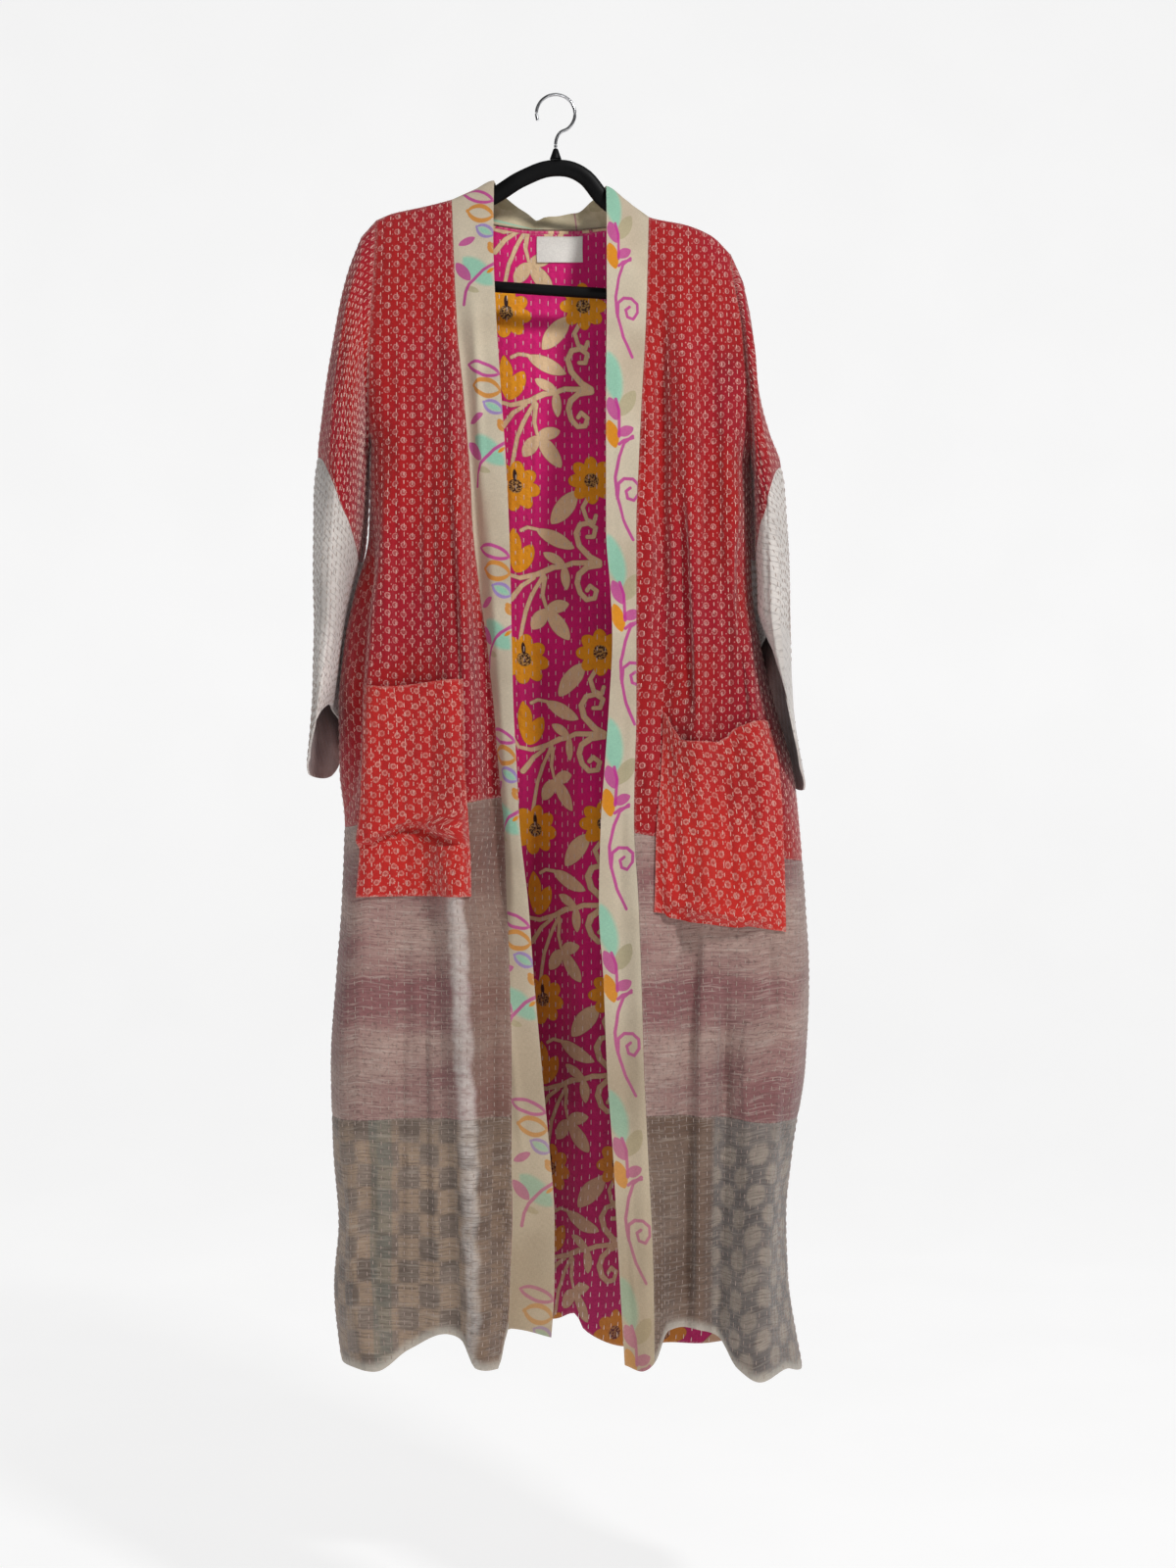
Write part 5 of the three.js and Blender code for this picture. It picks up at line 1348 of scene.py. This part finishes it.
def add_sleeve(side):
    whole = sleeve_sheet(side)
    seam = int(np.argmin(abs(whole.rows - CUFF_RING)))
    sleeve = pulled(whole.cut(slice(seam + 1), closed=True), "bottom")
    add_piece(f"sleeve_{side}", sleeve, CLOTH, [RED, SLEEVE_LINING], "cotton_red", PINK_THREAD)
    cuff = pulled(whole.cut(slice(seam, None), closed=True), "top")
    add_piece(f"cuff_{side}", cuff, CLOTH, [CUFF, SLEEVE_LINING], "cotton_cuff", GREY_THREAD)


def find(source, x, z):
    """Fraction of a row and a column of a fine sheet where it stands at x and z."""
    gap = (source.p[..., 0] - x) ** 2 + (source.p[..., 2] - z) ** 2
    r, c = np.unravel_index(np.argmin(gap), gap.shape)
    r, c = min(max(r, 1), gap.shape[0] - 2), min(max(c, 1), gap.shape[1] - 2)
    across = (source.p[r, c + 1] - source.p[r, c - 1])[[0, 2]] / 2
    down = (source.p[r + 1, c] - source.p[r - 1, c])[[0, 2]] / 2
    shift = np.linalg.solve(np.stack([down, across], 1), np.array([x, z]) - source.p[r, c][[0, 2]])
    return r + shift[0], c + shift[1]


def shares(rows, columns):
    """Shares of the way down and along, at the points of a grid."""
    return np.meshgrid(np.linspace(0, 1, rows), np.linspace(0, 1, columns), indexing="ij")


def patch(source, corners, rows, columns, off, droop=0):
    """Cloth that lies on a sheet between four corners, moved out by off(along, down, points)."""
    spots = [find(source, x, z) for x, z in corners]
    down, along = shares(rows, columns)
    down = mix(droop * smooth(along / 0.2) * smooth((1 - along) / 0.6), 1, down)

    def blend(k):
        return mix(mix(spots[0][k], spots[1][k], along), mix(spots[2][k], spots[3][k], along), down)

    r, c = np.clip(blend(0), 0, source.p.shape[0] - 1.001), np.clip(blend(1), 0, source.p.shape[1] - 1.001)
    r0, c0 = r.astype(int), c.astype(int)
    fr, fc = (r - r0)[..., None], (c - c0)[..., None]

    def at(grid):
        above = mix(grid[r0, c0], grid[r0, c0 + 1], fc)
        below = mix(grid[r0 + 1, c0], grid[r0 + 1, c0 + 1], fc)
        return mix(above, below, fr)

    p, n = at(source.p), unit(at(source.n))
    placed = p + n * off(along, down, p)[..., None]
    return Sheet(placed, normals_of(placed), grain=float(placed[0, 0, 0]))


def add_pocket(side):
    shape = POCKETS[side]
    corners = shape["corners"]
    wide, tall = abs(corners[1][0] - corners[0][0]), abs(corners[2][1] - corners[0][1])
    rows = [(a0 * wide, d0 * tall, a1 * wide, d1 * tall, width, high)
            for a0, d0, a1, d1, width, high in POCKET_CREASES[side]]

    def off(along, down, p):
        aside = np.minimum(along, 1 - along)
        mouth = shape["mouth"] * (1 - smooth(down * 2.5))
        sag = (0.25 + 0.75 * down) ** shape["hangs"]
        across = np.maximum(0, np.sin(np.pi * along)) ** 0.8
        out = across * (mouth + shape["bulge"] * np.sin(np.pi * sag))
        free = smooth(8 * np.minimum(aside, 1 - down))
        out = out + creases(rows, along * wide, down * tall, 0.25) * free
        above = (POCKET_LEDGE["down"] + POCKET_LEDGE["arch"] * np.abs(along - 0.45) ** 1.5 - down) * tall
        ledge = smooth((above + 1) / 5) * (1 - smooth(above / 80)) * smooth((1 - along) / 0.12)
        out = out + POCKET_LEDGE[side] * (ledge - 0.8 * rounded((above + 5) / 6))
        hem = seam_dip(down * tall - POCKET_HEM, 1.6, 0.7)
        out = out + (crumple(p[..., 0], p[..., 2], 0.6) + hem) * free
        edges = seam_dip(np.minimum(aside * wide, (1 - down) * tall) - 3, 1.6, 0.4)
        return CLOTH + POCKET_LIFT + np.maximum(out + edges, 0)

    piece = patch(fronts[side], corners, POCKET_ROWS, POCKET_COLUMNS, off, POCKET_DROOP[side])
    down, along = shares(POCKET_ROWS, POCKET_COLUMNS)
    hung = smooth((down - 0.45) / 0.4) * smooth((1 - down) / 0.06)
    hung *= smooth(along / 0.12) * smooth((1 - along) / 0.4)
    piece.p[..., 2] -= POCKET_OVERHANG[side] * hung
    piece.n = normals_of(piece.p)
    add_piece(f"pocket_{side}", piece, CLOTH, [POCKET, RED], "cotton_pocket", PINK_THREAD)


def add_label():
    inside = back.moved(-(CLOTH + SEAM_GAP + LINING_CLOTH + LABEL["lift"]))
    piece = patch(inside, LABEL["corners"], LABEL["rows"], LABEL["columns"], lambda along, down, p: 0 * along)
    piece.p, piece.u, piece.v = piece.p[:, ::-1], piece.u[:, ::-1], piece.v[:, ::-1]
    piece.n = normals_of(piece.p)
    curl = 0.2 * np.cos(np.linspace(0, 2 * np.pi, LABEL["columns"]))
    piece.p = piece.p + piece.n * (LABEL["cloth"] + curl)[None, :, None]
    add_piece("label", piece, LABEL["cloth"], [LABEL_TAPE], "label_tape")


# ---------------------------------------------------------------- running stitches
def stitch_mesh(name, places, downs, outs, sizes, material):
    """Stitches joined in one mesh: each a short thread with a raised middle and sunk ends."""
    across = unit(np.cross(outs, downs))
    # stations along the stitch: share of its half length, half width, height of its middle
    rings = [(-1.0, 0.20, -0.35), (-0.55, 0.46, 0.22), (0.55, 0.46, 0.22), (1.0, 0.20, -0.35)]
    verts = []
    for share, wide, high in rings:
        middle = places + downs * (share * STITCH_HALF * sizes)[:, None] + outs * high
        verts += [middle + across * wide, middle + outs * wide, middle - across * wide]
    verts = np.stack(verts, 1)
    faces = []
    for k in range(0, 9, 3):
        for s in range(3):
            a, b = k + s, k + (s + 1) % 3
            faces.append([a, b, b + 3, a + 3])
    faces += [[2, 1, 0], [9, 10, 11]]
    every = [[v + 12 * i for v in face] for i in range(len(places)) for face in faces]
    mesh = bpy.data.meshes.new(name)
    mesh.from_pydata((verts.reshape(-1, 3) * MM).tolist(), [], every)
    mesh.materials.append(material)
    thing = bpy.data.objects.new(name, mesh)
    bpy.context.scene.collection.objects.link(thing)
    soften(thing, 80)
    return thing


def add_stitches():
    rng = np.random.default_rng(STITCH_SEED)
    for name, piece, step, material, slot in stitch_jobs:
        low, high = float(piece.u.min()), float(piece.u.max())
        lines = np.arange(math.ceil(low / STITCH_APART) * STITCH_APART, high, STITCH_APART)
        lines = lines + rng.uniform(-0.5, 0.5, len(lines))
        places, downs, outs, sizes = sampled(piece, lines, step, rng, 0.07)
        if name == "back_lining":
            sizes = sizes * LINING_STITCH
        thing = stitch_mesh(f"stitches_{name}", places, downs, outs, sizes, material)
        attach(thing, "root")


for side in ("left", "right"):
    add_front(side)
    add_sleeve(side)
add_back()
add_neck()
for side in ("left", "right"):
    add_pocket(side)
add_label()
add_stitches()


# ---------------------------------------------------------------- hanger
YOKE = {"height": 19, "depth": 11, "drop": 17.5, "arch": -81.8, "left": -190, "right": 178}
BAR = {"size": 12.6, "left": -182, "right": 166, "middle": -219.4, "slope": -0.0536, "turn": 22}
BOSS = {"top": -60, "top_radius": 2.6, "bottom_radius": 6.8}
HOOK = {"wire": 1.9, "inside": 20, "shank": -59.7, "end": 200}


def rod(node, points, wide, tall, material):
    """Rod of an oval section through points, drawn as a path with a bevel and made a mesh."""
    bpy.ops.object.select_all(action="DESELECT")
    bpy.ops.curve.primitive_bezier_circle_add(radius=0.5 * MM, location=(0, 0, 0))
    section = bpy.context.active_object
    for spot in section.data.splines[0].bezier_points:
        for handle in (spot.co, spot.handle_left, spot.handle_right):
            handle.x *= wide
            handle.y *= tall
    section.data.resolution_u = 7
    bpy.ops.object.select_all(action="DESELECT")
    bpy.ops.curve.primitive_bezier_curve_add(location=(0, 0, 0))
    line = bpy.context.active_object
    line.name = node + "_look"
    spline = line.data.splines[0]
    spline.bezier_points.add(len(points) - 2)
    for spot, (x, z) in zip(spline.bezier_points, points):
        spot.co = (x * MM, 0, z * MM)
        spot.handle_left_type = spot.handle_right_type = "AUTO"
    line.data.resolution_u = 6
    line.data.twist_mode = "Z_UP"
    line.data.bevel_mode = "OBJECT"
    line.data.bevel_object = section
    line.data.use_fill_caps = True
    only(line)
    bpy.ops.object.convert(target="MESH")
    bpy.data.objects.remove(section)
    line.data.materials.clear()
    line.data.materials.append(material)
    bpy.ops.object.mode_set(mode="EDIT")
    bpy.ops.mesh.select_all(action="SELECT")
    bpy.ops.mesh.remove_doubles(threshold=0.00002)
    bpy.ops.mesh.normals_make_consistent(inside=False)
    bpy.ops.object.mode_set(mode="OBJECT")
    soften(line, 45)
    declare(line, node)


def add_hanger():
    def on_ridge(x):
        return (x, float(ridge(np.array(float(x)))) - YOKE["drop"])

    arch = [(x, YOKE["arch"] - 0.0085 * x * x) for x in (-36, 0, 28)]
    line = [on_ridge(x) for x in (YOKE["left"], -150, -119, -95, -70)] + arch
    line += [on_ridge(x) for x in (57, 80, 107, 149, YOKE["right"])]
    rod("hanger_yoke", line, YOKE["depth"], YOKE["height"], BLACK)

    def bar_z(x):
        return BAR["middle"] + BAR["slope"] * x

    def under_yoke(x):
        before, after = (float(ridge(np.array(x + s * BAR["size"] / 2))) for s in (-1, 1))
        lean = math.atan2(after - before, BAR["size"])
        return min(before, after) - YOKE["drop"] - YOKE["height"] / 2 / math.cos(lean)

    bar = []
    for x, inward in ((BAR["left"], 1), (BAR["right"], -1)):
        end = [(x, under_yoke(x) - 2 * SEAM_GAP)]
        for i in range(4):
            turn = math.pi / 6 * i
            across, up = BAR["turn"] * (1 - math.cos(turn)), BAR["turn"] * (1 - math.sin(turn))
            end.append((x + inward * across, bar_z(x) + up))
        bar += end[::inward]
    rod("hanger_bar", bar, BAR["size"], BAR["size"], BLACK)

    bow = HOOK["inside"] + HOOK["wire"]
    hook = [(0, HOOK["shank"]), (0.2, -52), (2, -46)]
    for degrees in range(-75, HOOK["end"] + 1, 25):
        turn = math.radians(degrees)
        hook.append((bow * math.cos(turn), bow * math.sin(turn) - HOOK["inside"]))
    rod("hanger_hook", hook, 2 * HOOK["wire"], 2 * HOOK["wire"], CHROME)

    # boss: a cone that flares into the yoke
    seat = YOKE["arch"] + YOKE["height"] / 2 + SEAM_GAP
    bpy.ops.object.select_all(action="DESELECT")
    bpy.ops.mesh.primitive_cone_add(
        vertices=32, radius1=BOSS["bottom_radius"] * MM, radius2=BOSS["top_radius"] * MM,
        depth=(BOSS["top"] - seat) * MM, location=(0, 0, 0))
    boss = bpy.context.active_object
    boss.name = "hanger_boss_look"
    only(boss)
    bpy.ops.object.mode_set(mode="EDIT")
    bpy.ops.mesh.select_all(action="SELECT")
    bpy.ops.transform.translate(value=(0, 0, (BOSS["top"] + seat) / 2 * MM))
    bpy.ops.object.mode_set(mode="OBJECT")
    bevel = boss.modifiers.new("Bevel", "BEVEL")
    bevel.width, bevel.segments, bevel.limit_method = 0.6 * MM, 3, "ANGLE"
    bpy.ops.object.modifier_apply(modifier="Bevel")
    boss.data.materials.append(BLACK)
    soften(boss, 40)
    declare(boss, "hanger_boss")


add_hanger()


# ---------------------------------------------------------------- stage and light
# Metres: height of the floor, where it turns up into the wall behind, and how widely it turns
FLOOR, WALL, SWEEP = -1.75, -2.0, 1.2


def add_stage():
    """Floor that sweeps up into the wall behind."""
    line = [(4.0, FLOOR), (WALL, FLOOR)]
    line += [(WALL - SWEEP * math.sin(a), FLOOR + SWEEP * (1 - math.cos(a)))
             for a in np.linspace(0.1, math.pi / 2, 16)]
    line.append((WALL - SWEEP, 4.0))
    verts = [(s * 7.0, -y, z) for y, z in line for s in (-1, 1)]
    faces = [(2 * i, 2 * i + 1, 2 * i + 3, 2 * i + 2) for i in range(len(line) - 1)]
    mesh = bpy.data.meshes.new("backdrop")
    mesh.from_pydata(verts, [], faces)
    made, net, shader, where = object_net("Pale paper")
    tone = net.ramp(net.noise(where, 0.004, 2.0), 0.3, 0.7)
    net.feed(shader.inputs["Base Color"], net.blend(tone, rgb(150, 150, 150), rgb(146, 146, 146)))
    shader.inputs["Roughness"].default_value = 0.95
    shader.inputs["Specular IOR Level"].default_value = 0.1
    shader.inputs["Emission Color"].default_value = (1, 1, 1, 1)
    shader.inputs["Emission Strength"].default_value = 0.76
    mesh.materials.append(made)
    for polygon in mesh.polygons:
        polygon.use_smooth = True
    thing = bpy.data.objects.new("backdrop", mesh)
    bpy.context.scene.collection.objects.link(thing)


def add_light(name, at, towards, size, watts):
    data = bpy.data.lights.new(name, "AREA")
    data.shape, data.size, data.size_y, data.energy = "RECTANGLE", size[0], size[1], watts
    light = bpy.data.objects.new(name, data)
    bpy.context.scene.collection.objects.link(light)
    light.location = at
    away = np.array(at) - np.array(towards)
    light.rotation_euler = (math.acos(away[2] / np.linalg.norm(away)), 0, math.atan2(away[0], -away[1]))


add_stage()
add_light("key", (1.5, -2.0, 1.5), (0, 0, -0.75), (0.4, 0.4), 66)
add_light("fill", (-0.5, -3.0, -0.7), (0, 0, -0.8), (1.2, 1.6), 14)
add_light("top", (0.3, -0.3, 1.5), (0, 0, -0.9), (1.6, 1.2), 4)
world = bpy.data.worlds.new("studio")
world.use_nodes = True
world.node_tree.nodes["Background"].inputs["Color"].default_value = (1, 1, 1, 1)
world.node_tree.nodes["Background"].inputs["Strength"].default_value = 0.08
bpy.context.scene.world = world
bpy.context.scene.view_settings.view_transform = "Standard"
